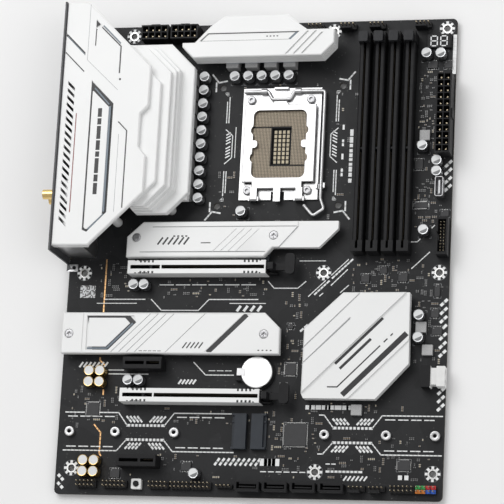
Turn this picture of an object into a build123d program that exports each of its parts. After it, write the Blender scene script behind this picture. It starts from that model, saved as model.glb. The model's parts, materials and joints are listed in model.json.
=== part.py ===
from build123d import *
import os

# A full-size ATX motherboard with an LGA processor socket, four memory slots, white armoured
# expansion slots and white heatsinks.  Millimetres.  The origin is the centre of the datum
# mounting hole on the underside of the board.  +X runs from the rear connectors towards the
# front of the case, +Y towards the processor end, +Z out of the component side.

# ---------------------------------------------------------------- board
board_length = 304.8          # along Y
board_width = 243.84          # along X
board_thickness = 1.6
board_corner = 3.0
datum_to_rear = 10.16         # datum hole to the rear edge
datum_to_top = 163.83         # datum hole to the processor edge

rear_x = -datum_to_rear
front_x = rear_x + board_width
top_y = datum_to_top
bottom_y = top_y - board_length
deck = board_thickness        # height of the component side

mount_hole_r = 1.98
hole_mid_x = 154.94
hole_front_x = front_x - 6.35
hole_low_y = bottom_y + 16.51
hole_top_y = top_y - 6.35
hole_top_x = 22.86
mount_holes = [
    (0, 0), (hole_mid_x, 0), (hole_front_x, 0),
    (0, hole_low_y), (hole_mid_x, hole_low_y), (hole_front_x, hole_low_y),
    (hole_top_x, hole_top_y), (hole_mid_x, hole_top_y), (hole_front_x, hole_top_y),
]

screw_r = 1.4                 # shank of the heatsink and cover screws
screw_head_r = 2.7
screw_head_h = 1.5
screw_clearance = 0.25
post_r = 2.9                  # legs that the heatsinks and the cover stand on

# ---------------------------------------------------------------- processor socket
cpu_x = 123.2
cpu_y = 82.3
cooler_pitch = 78.0
cooler_hole_r = 2.0
cpu_size_x = 37.5
cpu_size_y = 45.0
cpu_clearance = 0.25
socket_wall = 1.9
socket_floor = 2.4
socket_height = 3.4
well_x = 12.0                 # open middle of the contact field
well_y = 24.0
contact_height = 0.4

steel = 1.5                   # sheet of the retention frame and load plate
frame_gap = 0.4               # socket to frame
frame_side = 4.6
frame_top_band = 12.6
frame_bottom_band = 10.6
ilm_screw_x = 19.3            # half spacing
ilm_screw_y = 29.75
ilm_screw_r = 1.5
ilm_head_r = 2.7
ilm_head_play = 0.2           # screw head to the underside of the load plate
plate_lift = 0.2              # socket body to the load plate
ilm_head_h = socket_height + plate_lift - steel - ilm_head_play
backplate_thickness = 2.0
backplate_margin = 5.5

wire_r = 1.1                  # load lever
wire_play = 0.06
lever_y = cpu_y + 34.9        # crank axis
lever_z = deck + steel + wire_r + 0.7
crank_dip = 5.2
crank_half = 6.0
arm_x = cpu_x + 28.2
plate_z = deck + socket_height + plate_lift
hinge_y = cpu_y - 35.6        # load plate hinge axis
hinge_z = plate_z + 0.2
hinge_x = 14.6                # half spacing of the two knuckles
hinge_pin_r = 0.7
hinge_play = 0.08
knuckle_r = 1.5
knuckle_w = 4.2

# ---------------------------------------------------------------- power section
cap_r = 3.15
cap_h = 8.0
cap_base_h = 1.2
cap_foot = 2 * cap_r + 0.3    # side of the square base
cap_gap = 0.2                 # between two bases
cap_pair = cap_foot + cap_gap
cap_column_x = 73.3
cap_column_y = 126.9
cap_column_count = 10
cap_column_pitch = 8.88
cap_row_x = 93.1
cap_row_y = 126.8
cap_row_count = 5
cap_row_pitch = 8.78
small_choke = 6.6
small_choke_h = 3.0
choke_to_cap = (small_choke + cap_foot) / 2
front_choke_y = -34.7
front_caps_y = 139.5          # the pair beside the status display
chip_gap = 0.3                # from a capacitor to a chip
audio_cap_pitch = cap_foot + 0.4
audio_groups = [(9.6, -70.9), (9.4, bottom_y + 13.7)]

choke_w = 8.0
choke_l = 8.4
choke_h = 8.0
stage_h = 0.9
stage_w = 5.0
stage_l = 6.0
pad_t = 1.0
small_chokes = [
    (215.8, 87.2), (217.5, front_choke_y), (221.9, front_choke_y - 2 * choke_to_cap - 1.0), (179.5, -86.3),
]

# left heatsink, a staircase that climbs to the cover
left_sink_back_x = 24.0
left_sink_low_y = 34.4
left_sink_top_y = 148.0
left_sink_right = 69.7
left_sink_under = 14.5
left_steps = [                # right side, top height, inset of both 45 degree corners
    (69.7, 20.0, 0.0), (61.7, 26.0, 1.5), (60.6, 30.0, 2.5), (58.3, 34.0, 3.5), (53.0, 37.5, 7.5),
]
# top heatsink, a finned block
top_sink_base = 11.0
top_sink_top = 24.0
top_sink_left = 61.5
top_sink_right = 159.6
top_sink_low = 134.8
top_sink_shoulder = 152.0
top_sink_crown = 162.0
fin_groove = 0.9
fin_count = 4
choke_left_x = 64.2
choke_top_y = 136.4
stage_left_x = 48.0
stage_top_y = 146.4

# ---------------------------------------------------------------- memory slots
dimm_x = 177.2
dimm_pitch = 9.55
dimm_count = 4
dimm_low_y = 10.6
dimm_high_y = 152.4
dimm_slot_w = 6.4
dimm_body_h = 10.4
dimm_channel_w = 1.5
dimm_channel_depth = 7.0
dimm_key_y = 77.4
dimm_key_w = 1.3
dimm_tower_w = dimm_slot_w + 1.0
dimm_tower_l = 7.0
dimm_tower_h = 13.0
latch_w = 4.0
latch_play = 0.3
latch_foot_r = 2.1
latch_pin_r = 0.8
latch_pin_play = 0.06
latch_top_h = dimm_tower_h + 5.6

# ---------------------------------------------------------------- expansion slots
slot_row_y = 1.4              # centre line of the first slot
slot_step = 20.32
slot_w = 7.4
slot_h = 11.2
slot_x0 = 32.2                # rear end of every slot
x16_length = 89.0
x1_length = 25.0
card_gap = 2.0                # channel for the card edge
card_depth = 8.0
slot_end = 1.5
key_from_end = 13.6
key_width = 1.6
armor_t = 0.5
armor_gap = 0.05
slot_latch_reach = 17.5
slot_latch_paddle = 13.0
slot_latch_pin_r = 0.8

# ---------------------------------------------------------------- storage, cell, covers
cover_t = 5.0                 # storage covers
cover_z = 7.0
cover_recess = 0.9
m2_width = 22.0
m2_depth = 9.2
m2_height = 4.2
m2_row_y = -100.5
m2_left_x = 106.9
m2_right_x = 119.3
standoff_r = 3.1
standoff_h = 2.9
standoff_hole_r = 1.25
standoff_xs = (-2.2, 27.5, 65.4, 160.2, 198.4, hole_front_x + 1.0)
cell_d = 20.0
cell_t = 3.2
holder_wall = 0.9
holder_base = 1.3
holder_gap = 1.03             # holder to the jacket of the second long slot
jacket_y = slot_row_y - 4 * slot_step + slot_w / 2 + armor_gap + armor_t
holder_r = cell_d / 2 + holder_wall
cell_y = jacket_y + holder_gap + holder_r
lower_plug_x = m2_left_x + 4.4    # storage socket under the lower cover
lower_plug_y = m2_row_y + 59.4
plug_face_x = lower_plug_x + m2_depth / 2
plug_low_y = lower_plug_y - m2_width / 2
plug_gap = 0.7                # holder to the nearest corner of that socket
holder_reach = (holder_r + plug_gap) ** 2 - (plug_low_y - cell_y) ** 2
cell_x = plug_face_x + 0.6 + max(0.0, holder_reach) ** 0.5

chip_sink_z = 5.0
chip_sink_top = 13.2
chip_size = 24.0
chip_x = 181.0
chip_y = -46.0

# ---------------------------------------------------------------- connectors
power_pitch = 4.2
power_hole = 3.5
power_h = 12.8
power_depth = 10.0
pin_w = 1.0
power_wall = 1.2              # added to the row of sockets, both sides together
atx_x = front_x - 5.38
atx_y = 99.0
atx_rows = 12
atx_low_y = atx_y - (atx_rows * power_pitch + power_wall) / 2
atx_cap_y = atx_low_y - 0.1 - cap_foot / 2
low_cap_y = atx_cap_y - cap_pair - 0.1
low_cap_x = 80.6
loose_caps = [
    (101.5, 38.3), (34.8, -8.7), (34.8 + cap_pair, -8.7), (35.0, -69.6), (35.0 + cap_pair, -69.6),
    (215.8, front_caps_y), (224.7, front_caps_y - 0.2), (215.1, 79.5), (224.3, atx_cap_y),
    (224.4, low_cap_y), (217.5, 25.6), (216.6, front_choke_y + choke_to_cap + cap_gap),
    (216.6, front_choke_y - choke_to_cap - 0.5), (low_cap_x, bottom_y + 13.5),
]
eps_y = top_y - 7.9
eps_xs = (40.0, 59.5)
header_pitch = 2.54
header_pin = 0.64
header_base_h = 2.5
header_y = bottom_y + 6.6
sata_y = bottom_y + 6.3
sata_x = 114.6
sata_pitch = 17.35
sata_w = 15.6
sata_d = 6.2
sata_h = 8.6
sata_count = 4
switch_x = 43.4
switch_y = bottom_y + 6.9
switch_w = 6.4
switch_h = 3.4
plunger_r = 1.75
plunger_h = 1.1
plunger_play = 0.15
plunger_travel = 0.25

# ---------------------------------------------------------------- rear end
shield_t = 1.2
shield_x = rear_x - 1.1
shield_low_y = 5.5
shield_top_y = top_y + 4.1
shield_low_z = 0.0
shield_top_z = 42.4
port_depth = 17.5
port_gap = 0.25
cover_top = 41.0
cover_sheet = 2.0
cover_lip = cover_top - left_steps[-1][1]     # the lip stands on the heatsink's highest step
cover_left = shield_x + shield_t / 2
vent_count = 20


def block(x0, x1, y0, y1, z0, z1):
    """Box between two corners."""
    return Pos((x0 + x1) / 2, (y0 + y1) / 2, (z0 + z1) / 2) * Box(x1 - x0, y1 - y0, z1 - z0)


def block_at(x, y, w, d, z0, h):
    """Box centred on x, y that stands on z0."""
    return Pos(x, y, z0 + h / 2) * Box(w, d, h)


def rod(x, y, z0, z1, radius):
    """Upright round bar."""
    return Pos(x, y, (z0 + z1) / 2) * Cylinder(radius, z1 - z0)


def rod_x(x0, x1, y, z, radius):
    """Round bar along X."""
    return Pos((x0 + x1) / 2, y, z) * Rot(0, 90, 0) * Cylinder(radius, x1 - x0)


def rod_y(y0, y1, x, z, radius):
    """Round bar along Y."""
    return Pos(x, (y0 + y1) / 2, z) * Rot(90, 0, 0) * Cylinder(radius, y1 - y0)


def prism(points, z0, z1):
    """Upright prism over a plan outline."""
    face = make_face(Polyline(*points, close=True))
    return extrude(Pos(0, 0, z0) * face, z1 - z0, dir=(0, 0, 1))


def prism_x(points, x0, x1):
    """Prism along X over an outline of y, z points."""
    corners = [(x0, y, z) for y, z in points]
    face = make_face(Polyline(*corners, close=True))
    return extrude(face, x1 - x0, dir=(1, 0, 0))


def prism_y(points, y0, y1):
    """Prism along Y over an outline of x, z points."""
    corners = [(x, y0, z) for x, z in points]
    face = make_face(Polyline(*corners, close=True))
    return extrude(face, y1 - y0, dir=(0, 1, 0))


def soften_top(part, size):
    """Bevel the edges around the highest flat face."""
    edges = part.faces().sort_by(Axis.Z)[-1].outer_wire().edges()
    return chamfer(edges, size)


def save(name, pieces):
    """Write one named sub-part, made of one or more separate solids."""
    solids = []
    for piece in pieces:
        solids.extend(piece.solids())
    shape = solids[0] if len(solids) == 1 else Compound(solids)
    export_step(shape, f"parts/{name}.step")


os.makedirs("parts", exist_ok=True)

# ---------------------------------------------------------------- fixing points
left_posts = [(30.5, 118.0), (30.5, 62.0), (55.0, 40.6)]
top_posts = [(80.0, 148.6), (146.0, 148.6)]
chip_posts = [(151.0, -44.0), (204.0, -20.0), (204.0, -54.0), (162.0, -76.0)]
cover_posts = [(16.0, 138.0), (20.0, 33.0)]
upper_screws = [(35.8, 20.7), (124.3, 21.7)]
lower_screws = [(-4.3, -41.1), (121.2, -41.1)]
underside_posts = left_posts + top_posts + chip_posts + cover_posts
cooler_holes = [
    (cpu_x + sx * cooler_pitch / 2, cpu_y + sy * cooler_pitch / 2) for sx in (-1, 1) for sy in (-1, 1)
]
ilm_screws = [
    (cpu_x + sx * ilm_screw_x, cpu_y + sy * ilm_screw_y) for sx in (-1, 1) for sy in (-1, 1)
]


def make_pcb():
    board = block(rear_x, front_x, bottom_y, top_y, 0, board_thickness)
    board = fillet(board.edges().filter_by(Axis.Z), board_corner)
    holes = [rod(x, y, -1, deck + 1, mount_hole_r) for x, y in mount_holes]
    holes += [rod(x, y, -1, deck + 1, cooler_hole_r) for x, y in cooler_holes]
    holes += [rod(x, y, -1, deck + 1, ilm_screw_r + screw_clearance) for x, y in ilm_screws]
    holes += [rod(x, y, -1, deck + 1, screw_r + screw_clearance) for x, y in underside_posts]
    return board - holes


# ---------------------------------------------------------------- processor socket
pocket_x = cpu_size_x / 2 + cpu_clearance
pocket_y = cpu_size_y / 2 + cpu_clearance
socket_x = pocket_x + socket_wall
socket_y = pocket_y + socket_wall


def make_socket_body():
    body = block_at(cpu_x, cpu_y, 2 * socket_x, 2 * socket_y, deck, socket_height)
    pocket = block_at(cpu_x, cpu_y, 2 * pocket_x, 2 * pocket_y, deck + socket_floor, socket_height)
    well = block_at(cpu_x + 1.2, cpu_y - 1.0, well_x, well_y, deck - 1, socket_height)
    grips = [
        block_at(cpu_x + side * socket_x, cpu_y, 2 * socket_wall + 0.2, 13.0, deck + socket_floor, 3.0)
        for side in (-1, 1)
    ]
    return body - [pocket, well] - grips


def make_socket_contacts():
    """Two L-shaped contact fields around the open middle."""
    field_x = pocket_x - 0.6
    field_y = pocket_y - 0.6
    z0 = deck + socket_floor
    z1 = z0 + contact_height
    in_x0 = cpu_x + 1.2 - well_x / 2 - 0.6
    in_x1 = cpu_x + 1.2 + well_x / 2 + 0.6
    in_y0 = cpu_y - 1.0 - well_y / 2 - 0.6
    in_y1 = cpu_y - 1.0 + well_y / 2 + 0.6
    split = 0.5
    upper = prism([
        (cpu_x - field_x, in_y1 + split), (in_x1, in_y1 + split), (in_x1, in_y0 + split),
        (cpu_x + field_x, in_y0 + split), (cpu_x + field_x, cpu_y + field_y),
        (cpu_x - field_x, cpu_y + field_y),
    ], z0, z1)
    lower = prism([
        (cpu_x - field_x, in_y1 - split), (in_x0, in_y1 - split), (in_x0, in_y0 - split),
        (cpu_x + field_x, in_y0 - split), (cpu_x + field_x, cpu_y - field_y),
        (cpu_x - field_x, cpu_y - field_y),
    ], z0, z1)
    return [upper, lower]


def make_center_capacitors():
    pieces = []
    for column in range(4):
        for row in range(8):
            x = cpu_x + 1.2 - 4.1 + column * 2.7
            y = cpu_y - 1.0 - 9.8 + row * 2.8
            pieces.append(block_at(x, y, 1.6, 2.0, deck, 0.9))
    return pieces


frame_x0 = cpu_x - socket_x - frame_gap - frame_side + 1.0
frame_x1 = cpu_x + socket_x + frame_gap + frame_side
frame_y0 = cpu_y - socket_y - frame_gap - frame_bottom_band
frame_y1 = cpu_y + socket_y + frame_gap + frame_top_band
loop_x = 11.0


def make_ilm_frame():
    z1 = deck + steel
    frame = block(frame_x0, frame_x1, frame_y0, frame_y1, deck, z1)
    opening = block_at(cpu_x, cpu_y, 2 * (socket_x + frame_gap), 2 * (socket_y + frame_gap), 0, 9)
    finger_notch = block(cpu_x - 4.0, cpu_x + 4.4, frame_y0 - 1, hinge_y + 5.2, 0, 9)
    holes = [rod(x, y, 0, 9, ilm_screw_r + 0.1) for x, y in ilm_screws]
    frame = frame - [opening, finger_notch] - holes
    # bearing loops of the lever crank
    bore_r = wire_r + wire_play
    for side in (-1, 1):
        x = cpu_x + side * loop_x
        loop = block(x - 1.9, x + 1.9, lever_y - 1.9, lever_y + 1.9, z1 - 0.5, lever_z)
        loop += rod_x(x - 1.9, x + 1.9, lever_y, lever_z, 1.9)
        frame = frame + loop - rod_x(x - 3, x + 3, lever_y, lever_z, bore_r)
    # ears and pins of the load plate hinge
    for side in (-1, 1):
        for ear in (-1, 1):
            x = cpu_x + side * hinge_x + ear * (knuckle_w / 2 + 0.75)
            frame += block(x - 0.5, x + 0.5, hinge_y - 1.4, hinge_y + 1.4, z1 - 0.5, hinge_z + 1.0)
        x = cpu_x + side * hinge_x
        half = knuckle_w / 2 + 1.0
        frame += rod_x(x - half, x + half, hinge_y, hinge_z, hinge_pin_r)
    # catch that stands outside the lever arm
    catch_y = cpu_y - 27.2
    outer = arm_x + wire_r + 0.35
    frame += block(frame_x1 - 0.5, outer + 1.2, catch_y - 1.6, catch_y + 1.6, deck + 0.1, z1)
    frame += block(outer, outer + 1.2, catch_y - 1.6, catch_y + 1.6, deck + 0.1, lever_z + 1.4)
    frame += block(frame_x1 - 1.2, frame_x1, catch_y - 1.6, catch_y + 1.6, deck + 0.1, lever_z + 0.4)
    # upturned stop between the loops
    stop_y = lever_y + wire_r + 0.4
    frame += block(cpu_x - 4.6, cpu_x + 4.6, stop_y, frame_y1, z1 - 0.5, lever_z + 0.6)
    return frame


def make_load_plate():
    z0 = plate_z
    z1 = plate_z + steel
    left = cpu_x - 22.6
    right = cpu_x + 23.6
    top = cpu_y + 25.9
    low = cpu_y - 29.0
    corner = low + 4.2
    plate = prism([
        (cpu_x - 16.2, low), (cpu_x - 16.2, corner), (left, corner), (left, top), (cpu_x - 5.4, top),
        (cpu_x - 4.2, top + 2.3), (cpu_x + 4.2, top + 2.3), (cpu_x + 5.4, top), (right, top),
        (right, corner), (cpu_x + 16.2, corner), (cpu_x + 16.2, low),
    ], z0, z1)
    window = block_at(cpu_x + 0.4, cpu_y, 34.4, 44.4, 0, 12)
    window = fillet(window.edges().filter_by(Axis.Z), 4.0)
    for sign in (-1, 1):
        for lobe in (-1, 1):
            x = cpu_x + 0.4 + sign * 15.4
            window += rod(x, cpu_y + lobe * 9.0, 0, 12, 3.2)
    grips = []
    for side in (-1, 1):
        tab = block_at(cpu_x + 0.4 + side * 17.0, cpu_y, 5.6, 4.8, 0, 12)
        grips.append(fillet(tab.edges().filter_by(Axis.Z), 1.6))
    plate -= window - grips
    plate = soften_top(plate, 0.4)
    # hinge arms, knuckles and the middle finger
    for side in (-1, 1):
        x = cpu_x + side * hinge_x
        arm = block(x - knuckle_w / 2, x + knuckle_w / 2, hinge_y, low + 0.5, z0, z1)
        arm += rod_x(x - knuckle_w / 2, x + knuckle_w / 2, hinge_y, hinge_z, knuckle_r)
        pin = rod_x(x - knuckle_w, x + knuckle_w, hinge_y, hinge_z, hinge_pin_r + hinge_play)
        plate = plate + arm - pin
    finger = block(cpu_x - 1.8, cpu_x + 2.6, hinge_y - 1.9, low + 0.5, z0, z1)
    plate += finger
    return plate


def make_load_lever():
    x0 = frame_x0 + 1.0
    path = FilletPolyline(
        (x0, lever_y, lever_z),
        (cpu_x - crank_half - 2.4, lever_y, lever_z),
        (cpu_x - crank_half + 0.4, lever_y - crank_dip, lever_z),
        (cpu_x + crank_half - 0.4, lever_y - crank_dip, lever_z),
        (cpu_x + crank_half + 2.4, lever_y, lever_z),
        (arm_x, lever_y, lever_z),
        (arm_x, cpu_y - 35.5, lever_z),
        (arm_x + 2.4, cpu_y - 42.0, lever_z),
        (arm_x - 4.4, cpu_y - 46.6, lever_z),
        (arm_x - 10.6, cpu_y - 39.6, lever_z),
        radius=1.7,
    )
    return sweep(Plane(path @ 0, z_dir=path % 0) * Circle(wire_r), path=path)


def make_ilm_screws():
    pieces = []
    for x, y in ilm_screws:
        head = rod(x, y, deck + steel, deck + steel + ilm_head_h, ilm_head_r)
        head = soften_top(head, 0.4)
        drive = extrude(Pos(x, y, deck + steel + ilm_head_h) * RegularPolygon(1.3, 6), -1.2)
        shank = rod(x, y, -backplate_thickness, deck + steel, ilm_screw_r)
        pieces.append(head - drive + shank)
    return pieces


def make_backplate():
    w = 2 * (ilm_screw_x + backplate_margin)
    d = 2 * (ilm_screw_y + backplate_margin)
    plate = block_at(cpu_x, cpu_y, w, d, -backplate_thickness, backplate_thickness)
    plate = fillet(plate.edges().filter_by(Axis.Z), 4.0)
    opening = block_at(cpu_x, cpu_y, 32.0, 42.0, -5, 8)
    opening = fillet(opening.edges().filter_by(Axis.Z), 3.0)
    holes = [rod(x, y, -5, 5, ilm_screw_r) for x, y in ilm_screws]
    return plate - opening - holes


# ---------------------------------------------------------------- power section
def step_outline(right, inset):
    """Plan outline of one step of the left heatsink."""
    top = left_sink_top_y - inset
    low = left_sink_low_y + inset / 3
    return [
        (left_sink_back_x, low + 12), (left_sink_back_x + 12, low), (right - 13.5, low),
        (right, low + 13.5), (right, top - 18.5 - inset), (right - 16, top - 2.5 - inset),
        (left_sink_back_x + 16, top - 2.5 - inset), (left_sink_back_x, top - 2.5),
    ]


def make_left_heatsink():
    choke_top = deck + choke_h + pad_t
    under = deck + stage_h + pad_t
    sink = prism(step_outline(left_sink_right, 0), left_sink_under, left_steps[0][1])
    sink = soften_top(sink, 0.6)
    floor = left_sink_under
    for right, height, inset in left_steps[1:]:
        step = prism(step_outline(right, inset), floor, height)
        sink += soften_top(step, 0.5)
    spine = block(left_sink_back_x + 3, choke_left_x + choke_w / 2, 44.0, 128.0, choke_top, floor + 1)
    leg = block(stage_left_x - 3.5, stage_left_x + 3.5, 44.0, 128.0, under, floor + 1)
    sink = sink + spine + leg
    for x, y in left_posts:
        sink += rod(x, y, deck, floor + 1, post_r)
        sink -= rod(x, y, deck - 1, deck + 6, screw_r)
    return sink


def make_top_heatsink():
    sink = prism([
        (top_sink_left, top_sink_low + 7.4), (top_sink_left + 7.2, top_sink_low),
        (top_sink_right - 7.8, top_sink_low), (top_sink_right, top_sink_low + 8.2),
        (top_sink_right, top_sink_shoulder), (142.0, top_sink_shoulder), (137.0, 155.6),
        (129.5, top_sink_crown), (88.4, top_sink_crown), (79.4, 155.4), (69.6, 144.8),
        (top_sink_left, 144.8),
    ], top_sink_base, top_sink_top)
    sink = soften_top(sink, 0.6)
    # horizontal cooling grooves around the low side
    pitch = (top_sink_top - 2.0 - top_sink_base) / fin_count
    for i in range(fin_count):
        z = top_sink_base + (i + 0.55) * pitch
        sink -= block(72.0, top_sink_right + 2, top_sink_low - 1, top_sink_low + 1.4, z, z + fin_groove)
        slope = Pos(top_sink_right - 3.9, top_sink_low + 4.1, z + fin_groove / 2) * Rot(0, 0, 45)
        sink -= slope * Box(13.0, 2.6, fin_groove)
    # long label recess and the slanted grooves
    recess = prism([(72.6, 145.4), (78.0, 150.8), (137.4, 150.8), (131.8, 145.4)], top_sink_top - 0.8, 30)
    sink -= recess
    for i in range(3):
        x = 128.4 + i * 5.1
        run = 13.6 if i < 2 else 12.6
        y1 = 136.0 + run + 1.2
        groove = [(x, 136.0), (x + 1.5, 136.0), (x + 1.5 + run, y1), (x + run, y1)]
        sink -= prism(groove, top_sink_top - 1.2, 30)
    leg = block(88.0, 134.0, stage_top_y - 3.5, stage_top_y + 3.5, deck + stage_h + pad_t, top_sink_base + 1)
    sink += leg
    for x, y in top_posts:
        sink += rod(x, y, deck, top_sink_base + 1, post_r)
        sink -= rod(x, y, deck - 1, deck + 6, screw_r)
    return sink


choke_left_ys = [50.6 + i * 9.4 for i in range(9)]
choke_top_xs = [91.2 + i * 12.4 for i in range(4)]


def make_inductors():
    pieces = []
    for y in choke_left_ys:
        choke = block_at(choke_left_x, y, choke_w, choke_l, deck, choke_h)
        pieces.append(soften_top(choke, 0.8))
    for x in choke_top_xs:
        choke = block_at(x, choke_top_y, choke_w, choke_l, deck, choke_h)
        pieces.append(soften_top(choke, 0.8))
    for x, y in small_chokes:
        choke = block_at(x, y, small_choke, small_choke, deck, small_choke_h)
        choke = fillet(choke.edges().filter_by(Axis.Z), 0.9)
        pieces.append(soften_top(choke, 0.35))
    return pieces


def make_power_stages():
    pieces = [block_at(stage_left_x, y, stage_w, stage_l, deck, stage_h) for y in choke_left_ys]
    pieces += [block_at(x, stage_top_y, stage_l, stage_w, deck, stage_h) for x in choke_top_xs]
    return pieces


def make_thermal_pads():
    low = choke_left_ys[0] - choke_l / 2
    high = choke_left_ys[-1] + choke_l / 2
    left = choke_top_xs[0] - choke_w / 2
    right = choke_top_xs[-1] + choke_w / 2
    over = deck + choke_h
    return [
        block(stage_left_x - 3, stage_left_x + 3, low, high, deck + stage_h, deck + stage_h + pad_t),
        block(choke_left_x - 3.5, choke_left_x + 3.5, low, high, over, over + pad_t),
        block(left, right, stage_top_y - 3, stage_top_y + 3, deck + stage_h, deck + stage_h + pad_t),
        block(left, right, choke_top_y - 1.4, choke_top_y + 4, over, top_sink_base),
        block_at(chip_x, chip_y, chip_size - 6, chip_size - 6, deck + 2.4, chip_sink_z - deck - 2.4),
        block(45, 112, 10.0, 25.0, cover_z - pad_t, cover_z),
        block(8, 108, -51.5, -31.0, cover_z - pad_t, cover_z),
    ]


def can(x, y):
    """Round polymer capacitor on its square base."""
    base = block_at(x, y, cap_foot, cap_foot, deck, cap_base_h)
    base = chamfer(base.edges().filter_by(Axis.Z), 0.9)
    body = rod(x, y, deck + cap_base_h, deck + cap_h, cap_r)
    return base + soften_top(body, 0.35)


def make_polymer_capacitors():
    pieces = [can(cap_column_x, cap_column_y - i * cap_column_pitch) for i in range(cap_column_count)]
    pieces += [can(cap_row_x + i * cap_row_pitch, cap_row_y) for i in range(cap_row_count)]
    pieces += [can(x, y) for x, y in loose_caps]
    return pieces


def make_audio_capacitors():
    pieces = []
    for x, y in audio_groups:
        for i in (0, 1):
            for j in (0, 1):
                pieces.append(can(x + i * audio_cap_pitch, y + j * audio_cap_pitch))
    return pieces


# ---------------------------------------------------------------- power connectors
def power_housing(x, y, columns, rows, latch_side):
    """Shrouded power connector; latch_side is the direction of its locking ramp."""
    w = columns * power_pitch + power_wall
    d = rows * power_pitch + power_wall
    body = block_at(x, y, w, d, deck, power_h)
    if columns < rows:
        ramp = block_at(x + latch_side * (w / 2 + 0.4), y, 1.0, 6.0, deck + 5, power_h - 6.5)
    else:
        ramp = block_at(x, y + latch_side * (d / 2 + 0.4), 6.0, 1.0, deck + 5, power_h - 6.5)
    sockets = []
    for i in range(columns):
        for j in range(rows):
            px = x + (i - (columns - 1) / 2) * power_pitch
            py = y + (j - (rows - 1) / 2) * power_pitch
            sockets.append(block_at(px, py, power_hole, power_hole, deck + power_h - power_depth, 20))
    return body + ramp - sockets


def power_pin_group(x, y, columns, rows):
    pieces = []
    for i in range(columns):
        for j in range(rows):
            px = x + (i - (columns - 1) / 2) * power_pitch
            py = y + (j - (rows - 1) / 2) * power_pitch
            pieces.append(block_at(px, py, pin_w, pin_w, deck + power_h - power_depth, power_depth - 3.0))
    return pieces


def make_power_pins():
    pieces = power_pin_group(atx_x, atx_y, 2, atx_rows)
    for x in eps_xs:
        pieces += power_pin_group(x, eps_y, 4, 2)
    return pieces


# ---------------------------------------------------------------- memory slots
latch_y = dimm_high_y - 3.4
latch_z = deck + 1.0 + latch_foot_r + latch_play


def make_dimm_slot(x):
    z1 = deck + dimm_body_h
    body = block(x - dimm_slot_w / 2, x + dimm_slot_w / 2, dimm_low_y, dimm_high_y, deck, z1)
    body = chamfer(body.edges().filter_by(Axis.Y).group_by(Axis.Z)[-1], 0.7)
    tower_z = deck + dimm_tower_h
    half = dimm_tower_w / 2
    body += block(x - half, x + half, dimm_low_y, dimm_low_y + dimm_tower_l, deck, tower_z)
    body += block(x - half, x + half, dimm_high_y - dimm_tower_l, dimm_high_y, deck, tower_z)
    floor = z1 - dimm_channel_depth
    channel = block(
        x - dimm_channel_w / 2, x + dimm_channel_w / 2,
        dimm_low_y + 2.0, dimm_high_y - dimm_tower_l + 1, floor, 40,
    )
    key = block(
        x - dimm_channel_w / 2, x + dimm_channel_w / 2,
        dimm_key_y - dimm_key_w / 2, dimm_key_y + dimm_key_w / 2, floor, z1 - 1.0,
    )
    pocket_half = latch_w / 2 + latch_play
    pocket = block(
        x - pocket_half, x + pocket_half,
        dimm_high_y - dimm_tower_l + 0.8, dimm_high_y + 1, deck + 1.0, 40,
    )
    pin = rod_x(x - half - 1, x + half + 1, latch_y, latch_z, latch_pin_r + latch_pin_play)
    return body - (channel - key) - pocket - pin


def make_dimm_latch(x):
    """Ejector lever that turns about its two stub pins in the slot's tower."""
    head_y = dimm_high_y - 7.4
    rise = deck + dimm_tower_h
    profile = prism_x([
        (latch_y - 1.3, latch_z), (latch_y - 1.6, rise - 0.2), (head_y, rise + 1.6),
        (head_y, rise + 3.8), (head_y + 1.6, deck + latch_top_h), (latch_y + 2.0, deck + latch_top_h),
        (latch_y + 2.6, rise + 2.4), (latch_y + 1.6, rise), (latch_y + 1.9, latch_z),
    ], x - latch_w / 2, x + latch_w / 2)
    foot = rod_x(x - latch_w / 2, x + latch_w / 2, latch_y, latch_z, latch_foot_r)
    head = block(x - 2.9, x + 2.9, latch_y - 4.6, latch_y + 2.0, rise + 2.6, deck + latch_top_h)
    pin = rod_x(x - latch_w / 2 - 1.4, x + latch_w / 2 + 1.4, latch_y, latch_z, latch_pin_r)
    head = chamfer(head.edges().filter_by(Axis.Z), 0.6)
    return profile + foot + head + pin


dimm_xs = [dimm_x + i * dimm_pitch for i in range(dimm_count)]


def make_slot_contacts():
    """Contact rows on both sides of every memory and expansion slot."""
    pieces = []
    floor = deck + dimm_body_h - dimm_channel_depth
    for x in dimm_xs:
        for side in (-1, 1):
            edge = x + side * dimm_channel_w / 2
            for y0, y1 in ((dimm_low_y + 8, dimm_key_y - 2), (dimm_key_y + 2, dimm_high_y - 9)):
                pieces.append(block(min(edge, edge - side * 0.2), max(edge, edge - side * 0.2),
                                    y0, y1, floor, floor + 4.5))
    for row, length in ((0, x16_length), (3, x1_length), (4, x16_length), (6, x1_length)):
        y = slot_row_y - row * slot_step
        for side in (-1, 1):
            edge = y + side * card_gap / 2
            x0 = slot_x0 + key_from_end + key_width + 1
            pieces.append(block(x0, slot_x0 + length - slot_end - 1, min(edge, edge - side * 0.25),
                                max(edge, edge - side * 0.25), deck + slot_h - card_depth, deck + slot_h - 3))
    return pieces


# ---------------------------------------------------------------- expansion slots
def make_expansion_slot(row, length):
    y = slot_row_y - row * slot_step
    z1 = deck + slot_h
    body = block(slot_x0, slot_x0 + length, y - slot_w / 2, y + slot_w / 2, deck, z1)
    channel = block(slot_x0 + slot_end, slot_x0 + length - slot_end, y - card_gap / 2, y + card_gap / 2,
                    z1 - card_depth, z1 + 1)
    key_x = slot_x0 + key_from_end
    key = block(key_x, key_x + key_width, y - card_gap / 2, y + card_gap / 2, z1 - card_depth, z1)
    return body - (channel - key)


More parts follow.
